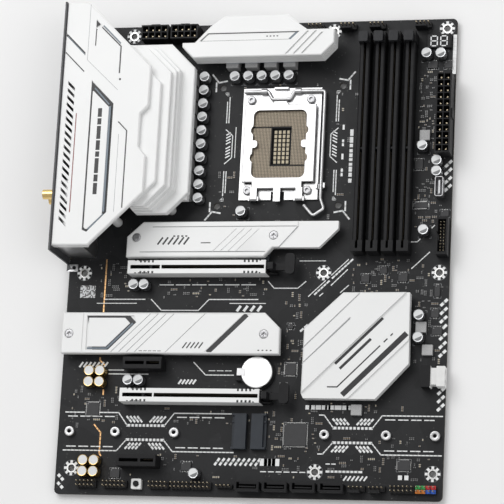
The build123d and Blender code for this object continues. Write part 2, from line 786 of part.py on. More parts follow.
def make_latched_slot(row):
    """Long slot with the two ears that hold its card latch."""
    y = slot_row_y - row * slot_step
    x1 = slot_x0 + x16_length
    body = make_expansion_slot(row, x16_length)
    pin_x = x1 + 3.4
    pin_z = deck + 3.4
    for side in (-1, 1):
        ear_y = y + side * 3.1
        ear = block(x1 - 0.5, x1 + 5.6, ear_y - 0.6, ear_y + 0.6, deck, deck + 6.0)
        body += ear
    return body - rod_y(y - 5, y + 5, pin_x, pin_z, slot_latch_pin_r + 0.06)


def make_slot_latch(row):
    """Card latch: a hook over the slot's end and a wide paddle to press."""
    y = slot_row_y - row * slot_step
    x1 = slot_x0 + x16_length
    pin_x = x1 + 3.4
    pin_z = deck + 3.4
    top = deck + slot_h
    hook = prism_y([
        (pin_x - 2.0, pin_z), (pin_x - 1.6, top + 1.4), (pin_x - 2.6, top + 2.2),
        (pin_x - 1.6, top + 3.8), (pin_x + 1.2, top + 3.8), (pin_x + 2.2, top - 0.4),
        (x1 + slot_latch_reach - 1, top - 0.8), (x1 + slot_latch_reach - 1, top - 2.4),
        (pin_x + 3.2, top - 3.2), (pin_x + 2.0, pin_z),
    ], y - 2.1, y + 2.1)
    foot = rod_y(y - 2.1, y + 2.1, pin_x, pin_z, 2.0)
    pin = rod_y(y - 3.5, y + 3.5, pin_x, pin_z, slot_latch_pin_r)
    px = x1 + slot_latch_reach
    half = slot_latch_paddle / 2
    paddle = block(px - 6.0, px, y - half + 2.0, y + half + 2.0, top - 2.4, top + 0.2)
    paddle = fillet(paddle.edges().filter_by(Axis.Z), 2.2)
    return hook + foot + pin + paddle


def make_armor(row):
    """Folded steel jacket over a long slot, with rows of clinch notches."""
    y = slot_row_y - row * slot_step
    x0 = slot_x0 - armor_gap - armor_t
    x1 = slot_x0 + x16_length
    half_in = slot_w / 2 + armor_gap
    half = half_in + armor_t
    z1 = deck + slot_h + armor_gap
    shell = block(x0, x1 - 0.6, y - half, y + half, deck + 0.4, z1 + armor_t)
    hollow = block(x0 + armor_t, x1 + 1, y - half_in, y + half_in, deck - 1, z1)
    mouth = block(slot_x0 + 1.2, x1 - 1.6, y - card_gap / 2 - 0.2, y + card_gap / 2 + 0.2, deck, z1 + 2)
    shell = shell - [hollow, mouth]
    notches = []
    for end in (slot_x0 + 4.5, x1 - 11.5):
        for i in range(4):
            for side in (-1, 1):
                notches.append(block_at(end + i * 2.4, y + side * half, 1.1, 1.4, z1 - 1.5, 4))
    return shell - notches


# ---------------------------------------------------------------- storage
def cover_plate(points, screws, recesses):
    """White storage cover with counterbored screws and shallow recesses."""
    plate = soften_top(prism(points, cover_z, cover_z + cover_t), 0.6)
    cuts = [rod(x, y, cover_z + cover_t - 1.9, 20, screw_head_r + 0.2) for x, y in screws]
    cuts += [rod(x, y, 0, 20, screw_r + 0.1) for x, y in screws]
    cuts += [prism(outline, cover_z + cover_t - cover_recess, 20) for outline in recesses]
    return plate - cuts


def slanted(x, y0, y1, width):
    """Plan outline of a 45 degree stripe that rises to the right."""
    run = y1 - y0
    return [(x, y0), (x + width, y0), (x + width + run, y1), (x + run, y1)]


def make_upper_cover():
    outline = [
        (39.9, 30.8), (165.0, 30.8), (165.0, 25.9), (153.2, 14.0), (123.9, 14.0),
        (118.4, 8.1), (29.6, 8.1), (29.6, 21.3),
    ]
    plate = cover_plate(outline, upper_screws, [])
    z1 = cover_z + cover_t
    frame_low = block(38.0, 119.6, 11.0, 11.5, z1 - 0.5, 20)
    frame_high = block(45.5, 139.0, 27.2, 27.7, z1 - 0.5, 20)
    end_outline = [(139.6, 31.8), (139.6, 27.6), (126.6, 13.0), (170.0, 13.0), (170.0, 31.8)]
    end_step = prism(end_outline, z1 - 0.9, 20)
    grooves = [prism(slanted(85.6 + i * 4.9, 11.6, 26.0, 0.5), z1 - 0.5, 20) for i in range(4)]
    return plate - [frame_low, frame_high, end_step] - grooves


def make_lower_cover():
    outline = [
        (-9.0, -27.5), (121.3, -27.5), (131.0, -37.0), (131.3, -53.6), (-9.0, -53.6),
    ]
    badge = [(7.0, -29.6), (37.4, -29.6), (39.2, -33.8), (21.8, -51.4), (7.2, -51.4)]
    plate = cover_plate(outline, lower_screws, [badge])
    z1 = cover_z + cover_t
    fold = block(4.4, 5.0, -54, -27, z1 - 0.5, 20)
    stripe = prism(slanted(83.8, -52.6, -28.4, 4.6), z1 - 0.6, 20)
    grooves = [prism(slanted(23.4 + i * 5.1, -52.8, -28.2, 0.5), z1 - 0.5, 20) for i in range(4)]
    grooves.append(prism(slanted(58.6, -52.8, -28.2, 0.5), z1 - 0.5, 20))
    return plate - [fold, stripe] - grooves


def countersunk_screw(x, y, z_low):
    z1 = cover_z + cover_t
    head = rod(x, y, z1 - 1.9, z1 - 0.4, screw_head_r)
    drive = Pos(x, y, z1 - 0.8) * Box(3.0, 0.7, 0.9)
    cross = Pos(x, y, z1 - 0.8) * Box(0.7, 3.0, 0.9)
    return head + rod(x, y, z_low, z1 - 1.9, screw_r) - [drive, cross]


def make_screws():
    pieces = []
    for x, y in underside_posts:
        head = rod(x, y, -screw_head_h, 0, screw_head_r)
        drive = Pos(x, y, -screw_head_h) * Box(3.2, 0.8, 1.2)
        cross = Pos(x, y, -screw_head_h) * Box(0.8, 3.2, 1.2)
        pieces.append(head + rod(x, y, 0, deck + 4, screw_r) - [drive, cross])
    for x, y in upper_screws + lower_screws:
        pieces.append(countersunk_screw(x, y, deck + 2))
    return pieces


def m2_connector(x, opens):
    """Low storage socket; opens is the side, -1 or 1, that takes the drive's edge."""
    z1 = deck + m2_height
    body = block_at(x, m2_row_y, m2_depth, m2_width, deck, m2_height)
    mouth_x = x + opens * m2_depth / 2
    mouth = block_at(mouth_x, m2_row_y, 6.0, m2_width - 2.4, deck + 1.9, 1.0)
    ledge = block_at(mouth_x, m2_row_y, 3.4, m2_width - 2.4, deck + 1.9, m2_height)
    key = block_at(mouth_x, m2_row_y + 6.1, 6.2, 1.0, deck + 1.8, 1.2)
    return body - (mouth + ledge) + key.intersect(block_at(x, m2_row_y, m2_depth, m2_width, deck, z1))


def make_m2_connectors():
    pieces = [m2_connector(m2_left_x, -1), m2_connector(m2_right_x, 1)]
    pieces.append(Pos(9.2, 118.0, 0) * m2_connector(m2_left_x, -1))
    pieces.append(Pos(lower_plug_x - m2_left_x, lower_plug_y - m2_row_y, 0) * m2_connector(m2_left_x, -1))
    return pieces


def make_standoffs():
    pieces = []
    for x in standoff_xs:
        ring = rod(x, -101.7, deck, deck + standoff_h, standoff_r)
        pieces.append(soften_top(ring, 0.3) - rod(x, -101.7, deck - 1, 20, standoff_hole_r))
    for x, y in upper_screws + lower_screws:
        post = rod(x, y, deck, cover_z, standoff_r)
        pieces.append(post - rod(x, y, deck + 2, 20, screw_r))
    return pieces


# ---------------------------------------------------------------- chipset
def make_chipset_heatsink():
    outline = [
        (170.2, -14.9), (211.3, -14.7), (211.8, -58.7), (191.8, -80.7), (147.6, -80.7),
        (146.3, -78.0), (146.6, -37.4),
    ]
    sink = soften_top(prism(outline, chip_sink_z, chip_sink_top), 0.7)
    # treads step down towards the front corner, with two grooves across the highest one
    cuts = [
        prism([(146.0, -77.8), (211.6, -12.2), (230.0, -12.2), (230.0, -95.0), (146.0, -95.0)],
              chip_sink_top - 1.5, 30),
        prism([(173.6, -82.0), (213.0, -42.6), (230.0, -42.6), (230.0, -95.0), (173.6, -95.0)],
              chip_sink_top - 2.6, 30),
        prism([(145.0, -51.6), (145.0, -50.6), (184.0, -11.6), (185.0, -11.6)], chip_sink_top - 0.7, 30),
        prism([(145.0, -61.2), (145.0, -60.4), (175.0, -30.4), (176.0, -31.2)], chip_sink_top - 0.7, 30),
    ]
    sink = sink - cuts
    for x, y in chip_posts:
        sink += rod(x, y, deck, chip_sink_z + 1, post_r)
        sink -= rod(x, y, deck - 1, deck + 4, screw_r)
    return sink


def make_chipset_package():
    base = block_at(chip_x, chip_y, chip_size, chip_size, deck, 1.4)
    return base + block_at(chip_x, chip_y, chip_size - 12, chip_size - 12, deck + 1.4, 1.0)


# ---------------------------------------------------------------- coin cell
def make_cell():
    z0 = deck + holder_base
    body = rod(cell_x, cell_y, z0 + 0.6, z0 + cell_t, cell_d / 2)
    body = soften_top(body, 0.4)
    return body + rod(cell_x, cell_y, z0, z0 + 0.6, cell_d / 2 - 1.2)


def make_cell_holder():
    r = cell_d / 2
    base = rod(cell_x, cell_y, deck, deck + holder_base, holder_r)
    wall = rod(cell_x, cell_y, deck, deck + holder_base + 2.2, holder_r)
    wall -= rod(cell_x, cell_y, deck, 20, r + 0.15)
    sector = block(cell_x - r - 2, cell_x - 1, cell_y - r, cell_y + r, deck, 20)
    head = block(cell_x - r - 3.4, cell_x - r + 2, cell_y - 5.2, cell_y + 5.2, deck, deck + holder_base + 2.2)
    head -= rod(cell_x, cell_y, deck + holder_base, 20, r + 0.15)
    return base + (wall & sector) + head


def make_cell_clip():
    r = cell_d / 2
    z1 = deck + holder_base + cell_t
    x0 = cell_x - r - 2.4
    outer = deck + holder_base + 2.2
    arm = block(x0, x0 + 5.0, cell_y - 2.2, cell_y + 2.2, z1, z1 + 0.3)
    stem = block(x0, x0 + 0.3, cell_y - 2.2, cell_y + 2.2, outer, z1 + 0.3)
    return arm + stem


# ---------------------------------------------------------------- small connectors
def make_sata(i):
    x = sata_x + i * sata_pitch
    body = block_at(x, sata_y, sata_w, sata_d, deck, sata_h)
    body = chamfer(body.edges().filter_by(Axis.Z), 0.9)
    slot = block_at(x, sata_y - 0.4, 12.4, 2.6, deck + 2.0, 20)
    foot = block_at(x - 5.4, sata_y + 0.9, 1.6, 2.4, deck + 2.0, 20)
    tongue = block_at(x + 0.4, sata_y - 0.5, 10.4, 1.0, deck + 1.5, sata_h - 2.4)
    return body - [slot, foot] + tongue


usb_x = front_x - 4.28
usb_y = 21.4
usb_c_x = front_x - 7.18
usb_c_l = 12.6
usb_c_y = low_cap_y - cap_foot / 2 - 0.5 - usb_c_l / 2


def make_front_usb_header():
    body = block_at(usb_x, usb_y, 7.0, 24.0, deck, 9.0)
    hollow = block_at(usb_x, usb_y, 4.8, 20.4, deck + 1.6, 20)
    notch = block_at(usb_x - 3.0, usb_y, 3.0, 4.6, deck + 3.0, 20)
    return body - [hollow, notch]


def make_front_usb_c_header():
    shell = block_at(usb_c_x, usb_c_y, 5.2, usb_c_l, deck, 8.0)
    shell = fillet(shell.edges().filter_by(Axis.Z), 1.2)
    hollow = block_at(usb_c_x, usb_c_y, 4.3, 11.7, deck + 1.0, 20)
    hollow = fillet(hollow.edges().filter_by(Axis.Z), 0.9)
    return shell - hollow + block_at(usb_c_x, usb_c_y, 1.1, 8.6, deck + 0.8, 5.6)


side_y = -66.0


def make_side_connectors():
    """Front-facing latching connector: dark frame and a white shroud with two round ports."""
    x0 = front_x - 14.6
    dark = block(x0, x0 + 6.2, side_y - 6.7, side_y + 6.7, deck, deck + 8.2)
    dark = chamfer(dark.edges().filter_by(Axis.Z), 0.5)
    neck = block(x0 + 6.2, x0 + 9.8, side_y - 5.1, side_y + 5.1, deck, deck + 7.4)
    white = block(x0 + 9.8, front_x + 0.3, side_y - 6.2, side_y + 6.2, deck, deck + 8.2)
    ports = [rod_x(x0 + 11.5, front_x + 2, side_y + s * 2.9, deck + 4.4, 1.6) for s in (-1, 1)]
    return [dark, neck, white - ports]


# pin headers along the low edge: centre x, columns, rows
header_blocks = [
    (11.2, 5, 2), (29.6, 6, 2), (57.8, 5, 2), (71.7, 5, 2), (84.8, 5, 2), (99.3, 4, 1),
    (209.4, 6, 2), (front_x - 9.9, 5, 2),
]
fan_headers = [(181.8, header_y), (194.1, header_y)]
fan_headers += [(143.7, top_y - 4.4), (164.7, top_y - 4.4), (183.4, top_y - 4.4), (212.6, top_y - 4.4)]


def make_header_bases():
    pieces = []
    for x, columns, rows in header_blocks:
        base = block_at(x, header_y, columns * header_pitch, rows * header_pitch, deck, header_base_h)
        pieces.append(chamfer(base.edges().filter_by(Axis.Z), 0.4))
    for x, y in fan_headers:
        base = block_at(x, y, 4 * header_pitch, 3.6, deck, 3.0)
        wall = block_at(x - 0.8, y - 2.3, 7.0, 1.1, deck, 9.6)
        pieces.append(base + wall)
    return pieces


def make_header_pins():
    pieces = []
    for x, columns, rows in header_blocks:
        for i in range(columns):
            for j in range(rows):
                px = x + (i - (columns - 1) / 2) * header_pitch
                py = header_y + (j - (rows - 1) / 2) * header_pitch
                pieces.append(block_at(px, py, header_pin, header_pin, deck + header_base_h, 5.8))
    for x, y in fan_headers:
        for i in range(4):
            px = x + (i - 1.5) * header_pitch
            pieces.append(block_at(px, y + 0.3, header_pin, header_pin, deck + 3.0, 6.4))
    for row in (-1, 1):
        for i in range(10):
            py = usb_y + (i - 4.5) * 2.0
            pieces.append(block_at(usb_x + row * 1.0, py, 0.5, 0.5, deck + 1.6, 5.6))
    return pieces


def make_switch_body():
    z1 = deck + switch_h
    body = block_at(switch_x, switch_y, switch_w, switch_w, deck, switch_h)
    body = chamfer(body.edges().filter_by(Axis.Z), 0.5)
    cover_hole = rod(switch_x, switch_y, z1 - 1.5, z1 + 1, plunger_r + plunger_play)
    return soften_top(body, 0.25) - cover_hole


def make_switch_plunger():
    z0 = deck + switch_h - 1.5 + plunger_travel + 0.15
    stem = rod(switch_x, switch_y, z0, deck + switch_h + plunger_h, plunger_r)
    return soften_top(stem, 0.25)


display_x = front_x - 10.9
display_y = top_y - 15.4


def make_digit_display():
    body = block_at(display_x, display_y, 15.4, 9.2, deck, 3.2)
    return soften_top(body, 0.3)


def make_ic_packages():
    beside_caps_y = front_caps_y - cap_foot / 2 - chip_gap - 2.3
    beside_low_cap_x = low_cap_x - cap_foot / 2 - cap_gap - 3.1
    beside_cell_x = max(137.0, cell_x + holder_r + 4.5)
    chips = [
        (141.8, -101.7, 14.0, 14.0, 1.0), (11.7, -87.2, 8.0, 8.0, 1.0), (192.6, 1.6, 4.4, 4.4, 0.9),
        (205.0, -3.0, 5.6, 5.6, 0.9), (beside_cell_x, -61.0, 7.0, 7.4, 0.9),
        (209.6, -119.6, 7.6, 6.4, 1.1),
        (214.4, 42.8, 9.0, 3.6, 1.0), (28.6, -127.4, 6.0, 5.6, 1.0), (225.6, -25.6, 4.6, 5.4, 0.9),
        (227.2, -36.6, 6.0, 5.0, 0.9), (219.0, beside_caps_y, 6.0, 4.6, 1.2),
        (228.9, beside_caps_y, 4.8, 4.6, 1.2),
        (229.6, 37.4, 5.0, 4.0, 1.0), (beside_low_cap_x, -122.4, 6.2, 5.4, 0.9),
        (226.6, -11.6, 3.2, 7.6, 1.2),
        (212.4, 69.0, 5.0, 6.6, 0.9), (181.6, -3.6, 5.0, 5.0, 1.3), (135.6, -34.0, 3.4, 3.0, 0.9),
    ]
    pieces = []
    for x, y, w, d, h in chips:
        chip = block_at(x, y, w, d, deck, h)
        pieces.append(soften_top(chip, 0.15))
    return pieces


# ---------------------------------------------------------------- rear end
# display, USB and network towers: centre y, width, height and openings,
# each opening as its lift above the board, height and width
towers = [
    (152.0, 17.0, 20.6, [(3.0, 4.9, 15.2), (11.8, 5.2, 16.2)]),
    (131.5, 14.8, 31.4, [(1.8, 5.7, 13.1), (9.2, 5.7, 13.1), (16.6, 5.7, 13.1), (23.8, 5.7, 13.1)]),
    (113.5, 14.8, 31.4, [(1.8, 5.7, 13.1), (9.2, 5.7, 13.1), (16.6, 5.7, 13.1), (23.8, 5.7, 13.1)]),
    (95.5, 14.8, 16.6, [(1.8, 5.7, 13.1), (9.8, 3.2, 9.0)]),
    (75.0, 17.0, 31.0, [(1.8, 5.7, 13.1), (9.2, 5.7, 13.1), (17.6, 9.2, 12.2)]),
]
antenna_y = 45.5
antenna_zs = (deck + 11.4, deck + 24.4)
antenna_box = (14.0, 33.0)
antenna_reach = 11.0
audio_y = 20.0
audio_w = 20.0
audio_h = 33.4
audio_hole_r = 1.8
jack_r = 4.2
port_x0 = shield_x + shield_t / 2 + 0.1


def tower_shell(y, width, height, openings):
    """Folded metal shell of one stack of sockets, open to the rear."""
    x1 = port_x0 + port_depth
    shell = block(port_x0, x1, y - width / 2, y + width / 2, deck, deck + height)
    cuts = []
    for lift, h, w in openings:
        z = deck + lift
        cuts.append(block(port_x0 - 2, x1 - 4, y - w / 2, y + w / 2, z, z + h))
    return shell - cuts


def make_port_shells():
    pieces = [tower_shell(*tower) for tower in towers]
    # radio module can behind the antenna sockets
    box_w, box_h = antenna_box
    radio = block(port_x0, port_x0 + 12.0, antenna_y - box_w / 2, antenna_y + box_w / 2, deck, deck + box_h)
    pieces.append(radio)
    # audio block with two columns of three jacks
    audio = block(port_x0, port_x0 + port_depth, audio_y - audio_w / 2, audio_y + audio_w / 2,
                  deck, deck + audio_h)
    jacks = []
    for side in (-1, 1):
        for level in range(3):
            z = deck + 6.6 + level * 10.4
            y = audio_y + side * 5.0
            jacks.append(rod_x(port_x0 - 2, port_x0 + 14, y, z, jack_r - 0.6))
    pieces.append(audio - jacks)
    return pieces


def make_port_inserts():
    """Plastic tongues of the sockets and the bushes of the audio jacks."""
    pieces = []
    for y, width, height, openings in towers:
        for lift, h, w in openings:
            z = deck + lift
            is_network = h > 8
            thickness = 1.4 if h > 4 else 0.8
            tongue_w = w - 3.0
            x1 = port_x0 + port_depth - 4
            if is_network:
                pieces.append(block(x1 - 3.0, x1, y - w / 2 + 0.2, y + w / 2 - 0.2, z + 0.2, z + h - 0.2))
            else:
                zc = z + h / 2
                pieces.append(block(x1 - 11.5, x1, y - tongue_w / 2, y + tongue_w / 2,
                                    zc - thickness / 2, zc + thickness / 2))
    for side in (-1, 1):
        for level in range(3):
            z = deck + 6.6 + level * 10.4
            y = audio_y + side * 5.0
            bush = rod_x(shield_x - 1.6, port_x0 + 13.5, y, z, jack_r - 0.65)
            pieces.append(bush - rod_x(shield_x - 3, port_x0 + 12, y, z, audio_hole_r))
    return pieces


def make_io_shield():
    x0 = shield_x - shield_t / 2
    x1 = shield_x + shield_t / 2
    plate = block(x0, x1, shield_low_y, shield_top_y, shield_low_z, shield_top_z)
    cuts = []
    for y, width, height, openings in towers:
        for lift, h, w in openings:
            z = deck + lift
            cuts.append(block(x0 - 1, x1 + 1, y - w / 2 - port_gap, y + w / 2 + port_gap,
                              z - port_gap, z + h + port_gap))
    for z in antenna_zs:
        cuts.append(rod_x(x0 - 1, x1 + 1, antenna_y, z, 3.2))
    for side in (-1, 1):
        for level in range(3):
            z = deck + 6.6 + level * 10.4
            cuts.append(rod_x(x0 - 1, x1 + 1, audio_y + side * 5.0, z, jack_r))
    foot = block(x0, rear_x + 5.6, shield_low_y - 4.6, shield_low_y + 0.2, deck, deck + 0.8)
    foot_hole = rod(rear_x + 3.0, shield_low_y - 2.0, 0, 9, 1.3)
    return plate - cuts + foot - foot_hole


def make_antenna_jacks():
    pieces = []
    for z in antenna_zs:
        x0 = shield_x - shield_t / 2
        flange = rod_x(x0 - 1.4, x0 - 0.1, antenna_y, z, 3.9)
        thread = rod_x(x0 - antenna_reach, x0 - 1.4, antenna_y, z, 3.1)
        neck = rod_x(x0 - 0.2, port_x0, antenna_y, z, 3.0)
        bore = rod_x(x0 - antenna_reach - 1, x0 - 2, antenna_y, z, 2.3)
        pin = rod_x(x0 - antenna_reach + 2, x0 - 1.4, antenna_y, z, 0.6)
        pieces.append(flange + thread + neck - bore + pin)
    return pieces


def make_io_cover():
    """Canopy over the rear connectors: a thick sheet with a lip all round."""
    outline = [
        (cover_left, shield_top_y - 0.2), (3.2, shield_top_y - 0.2), (46.6, 124.4), (46.6, 98.6),
        (41.6, 93.4), (41.6, 72.2), (46.6, 66.2), (46.6, 42.6), (12.9, 9.0), (cover_left, 9.0),
    ]
    under = cover_top - cover_lip
    body = soften_top(prism(outline, under, cover_top), 0.7)
    inner = offset(make_face(Polyline(*outline, close=True)), -cover_sheet, kind=Kind.INTERSECTION)
    body -= extrude(Pos(0, 0, under - 1) * inner, cover_lip - cover_sheet + 1, dir=(0, 0, 1))
    # deeper lips at both ends
    body += block(cover_left, 3.0, shield_top_y - 0.2 - cover_sheet, shield_top_y - 0.2, 24.0, under + 1)
    body += block(cover_left, 12.0, 9.0, 9.0 + 1.0, 34.2, under + 1)
    for x, y in cover_posts:
        body += rod(x, y, deck, cover_top - 1, post_r)
        body -= rod(x, y, deck - 1, deck + 6, screw_r)
    # slanted vents, badge recess, upper recess and seams
    vents = []
    pitch = 88.0 / (vent_count - 1)
    for i in range(vent_count):
        y = 25.5 + i * pitch
        vents.append(prism([(-6.9, y), (-6.9, y + 2.2), (-2.1, y - 2.6), (-2.1, y - 4.8)], 30, 50))
    badge = [(8.7, 115.6), (23.9, 100.2), (23.9, 29.8), (11.8, 17.2), (8.7, 18.6)]
    upper = [(9.2, 156.0), (13.2, 151.6), (26.9, 138.2), (26.9, 120.0), (25.9, 120.0), (25.9, 137.4),
             (12.6, 150.4), (9.9, 149.0), (9.9, 138.6), (9.2, 138.6)]
    slits = [
        prism([(-10.2, 147.6), (3.2, 134.2), (3.2, 132.2), (-10.2, 145.6)], cover_top - 1.0, 50),
        prism([(-10.2, 135.4), (3.2, 122.0), (3.2, 121.0), (-10.2, 134.4)], cover_top - 1.0, 50),
        prism(badge, cover_top - 1.1, 50),
        prism(upper, cover_top - 0.8, 50),
        prism([(27.4, 88.0), (33.2, 82.2), (33.2, 32.4), (34.1, 32.4), (34.1, 82.6), (28.0, 88.6)],
              cover_top - 0.8, 50),
    ]
    return body - vents - slits


save("pcb", [make_pcb()])
save("socket_body", [make_socket_body()])
save("socket_contacts", make_socket_contacts())
save("socket_center_capacitors", make_center_capacitors())
save("ilm_frame", [make_ilm_frame()])
save("ilm_load_plate", [make_load_plate()])
save("ilm_load_lever", [make_load_lever()])
save("ilm_screws", make_ilm_screws())
save("ilm_backplate", [make_backplate()])
save("vrm_heatsink_left", [make_left_heatsink()])
save("vrm_heatsink_top", [make_top_heatsink()])
save("heatsink_screws", make_screws())
save("power_inductors", make_inductors())
save("power_stages", make_power_stages())
save("thermal_pads", make_thermal_pads())
save("polymer_capacitors", make_polymer_capacitors())
save("audio_capacitors", make_audio_capacitors())
save("atx_power_housing", [power_housing(atx_x, atx_y, 2, atx_rows, 1)])
save("eps_power_housings", [power_housing(x, eps_y, 4, 2, 1) for x in eps_xs])
save("power_pins", make_power_pins())
for number, x in enumerate(dimm_xs, start=1):
    save(f"dimm_slot_{number}", [make_dimm_slot(x)])
    save(f"dimm_latch_{number}", [make_dimm_latch(x)])
save("slot_contacts", make_slot_contacts())
for number, row in ((1, 0), (2, 4)):
    save(f"pcie_x16_slot_{number}", [make_latched_slot(row)])
    save(f"pcie_armor_{number}", [make_armor(row)])
    save(f"pcie_latch_{number}", [make_slot_latch(row)])
save("pcie_x1_slots", [make_expansion_slot(3, x1_length), make_expansion_slot(6, x1_length)])
save("m2_heatsink_upper", [make_upper_cover()])
save("m2_heatsink_lower", [make_lower_cover()])
save("m2_connectors", make_m2_connectors())
save("m2_standoffs", make_standoffs())
save("chipset_heatsink", [make_chipset_heatsink()])
save("chipset_package", [make_chipset_package()])
save("coin_cell", [make_cell()])
save("battery_holder", [make_cell_holder()])
save("battery_clip", [make_cell_clip()])
save("sata_connectors", [make_sata(i) for i in range(sata_count)])
save("front_usb_header", [make_front_usb_header()])
save("front_usb_c_header", [make_front_usb_c_header()])
save("side_connectors", make_side_connectors())
save("header_bases", make_header_bases())
save("header_pins", make_header_pins())
save("tact_switch_body", [make_switch_body()])
save("tact_switch_plunger", [make_switch_plunger()])
save("digit_display", [make_digit_display()])
save("io_cover", [make_io_cover()])
save("io_shield", [make_io_shield()])
save("rear_port_shells", make_port_shells())
save("rear_port_inserts", make_port_inserts())
save("antenna_jacks", make_antenna_jacks())
save("ic_packages", make_ic_packages())
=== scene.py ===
import json
import math
import random

import bpy
from mathutils import Matrix, Vector

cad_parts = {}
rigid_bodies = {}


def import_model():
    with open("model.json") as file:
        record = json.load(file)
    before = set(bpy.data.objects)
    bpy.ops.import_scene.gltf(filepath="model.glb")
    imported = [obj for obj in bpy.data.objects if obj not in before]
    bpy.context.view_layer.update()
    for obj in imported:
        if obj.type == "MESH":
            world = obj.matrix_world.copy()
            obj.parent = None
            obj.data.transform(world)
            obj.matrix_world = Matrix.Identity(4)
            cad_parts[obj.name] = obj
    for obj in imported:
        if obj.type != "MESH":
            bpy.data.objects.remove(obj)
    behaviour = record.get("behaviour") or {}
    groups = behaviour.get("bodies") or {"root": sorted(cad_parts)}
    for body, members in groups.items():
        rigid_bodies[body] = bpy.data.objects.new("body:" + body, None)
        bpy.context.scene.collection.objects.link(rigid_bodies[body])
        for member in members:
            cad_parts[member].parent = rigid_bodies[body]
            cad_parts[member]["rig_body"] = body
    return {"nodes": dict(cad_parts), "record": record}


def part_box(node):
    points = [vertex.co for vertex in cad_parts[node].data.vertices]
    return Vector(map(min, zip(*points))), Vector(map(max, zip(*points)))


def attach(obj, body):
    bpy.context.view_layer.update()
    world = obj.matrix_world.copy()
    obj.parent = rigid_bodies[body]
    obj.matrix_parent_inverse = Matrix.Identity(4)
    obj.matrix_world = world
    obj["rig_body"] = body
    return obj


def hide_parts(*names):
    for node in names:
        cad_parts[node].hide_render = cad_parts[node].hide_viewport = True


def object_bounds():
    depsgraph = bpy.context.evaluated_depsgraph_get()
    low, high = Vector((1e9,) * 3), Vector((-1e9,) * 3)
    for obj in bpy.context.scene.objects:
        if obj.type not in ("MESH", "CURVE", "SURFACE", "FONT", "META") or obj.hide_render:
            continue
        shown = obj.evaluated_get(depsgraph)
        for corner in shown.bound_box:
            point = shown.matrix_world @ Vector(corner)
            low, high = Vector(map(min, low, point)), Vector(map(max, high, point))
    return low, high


# The looks of a white and black ATX motherboard.  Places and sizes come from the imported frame.
# Lengths in this script are millimetres until a mesh is made; MM turns them into metres.
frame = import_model()
cad_low, cad_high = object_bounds()
random.seed(11)
MM = 0.001


# ---- places taken from the frame
def low(node):
    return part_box(node)[0] / MM


def high(node):
    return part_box(node)[1] / MM


def middle(node):
    return (low(node) + high(node)) / 2


def solids(node):
    """Low and high corners of each separate solid of a CAD node, in millimetres."""
    mesh = frame["nodes"][node].data
    keys = [tuple(round(c / MM, 2) for c in v.co) for v in mesh.vertices]
    parent = {key: key for key in keys}

    def root(key):
        while parent[key] != key:
            parent[key] = parent[parent[key]]
            key = parent[key]
        return key

    for face in mesh.polygons:
        first = root(keys[face.vertices[0]])
        for other in face.vertices[1:]:
            parent[root(keys[other])] = first
    groups = {}
    for key in set(keys):
        groups.setdefault(root(key), []).append(key)
    boxes = []
    for points in groups.values():
        corner_low = Vector([min(p[i] for p in points) for i in range(3)])
        corner_high = Vector([max(p[i] for p in points) for i in range(3)])
        boxes.append((corner_low, corner_high))
    return sorted(boxes, key=lambda box: (round(box[0].x, 1), round(box[0].y, 1)))


board_low, board_high = low("pcb"), high("pcb")
deck = board_high.z
socket = middle("socket_body")


# ---- shader expressions
class Field:
    """A shader socket that Python arithmetic can use."""

    def __init__(self, tree, socket=None):
        self.tree = tree
        self.socket = socket

    def node(self, kind, settings=None, inputs=None, output=0, stops=None):
        made = self.tree.nodes.new(kind)
        for key, value in (settings or {}).items():
            setattr(made, key, value)
        for index, (where, colour) in enumerate(stops or []):
            ramp = made.color_ramp.elements
            stop = ramp[index] if index < len(ramp) else ramp.new(where)
            stop.position = where
            stop.color = (*colour, 1)
        for key, value in (inputs or {}).items():
            if isinstance(value, Field):
                self.tree.links.new(value.socket, made.inputs[key])
            else:
                made.inputs[key].default_value = value
        return Field(self.tree, made.outputs[output])

    def math(self, operation, *values):
        return self.node("ShaderNodeMath", {"operation": operation}, dict(enumerate(values)))

    def __add__(self, other):
        return self.math("ADD", self, other)

    def __radd__(self, other):
        return self.math("ADD", other, self)

    def __sub__(self, other):
        return self.math("SUBTRACT", self, other)

    def __rsub__(self, other):
        return self.math("SUBTRACT", other, self)

    def __mul__(self, other):
        return self.math("MULTIPLY", self, other)

    def __rmul__(self, other):
        return self.math("MULTIPLY", other, self)

    def __gt__(self, other):
        return self.math("GREATER_THAN", self, other)

    def __lt__(self, other):
        return self.math("LESS_THAN", self, other)


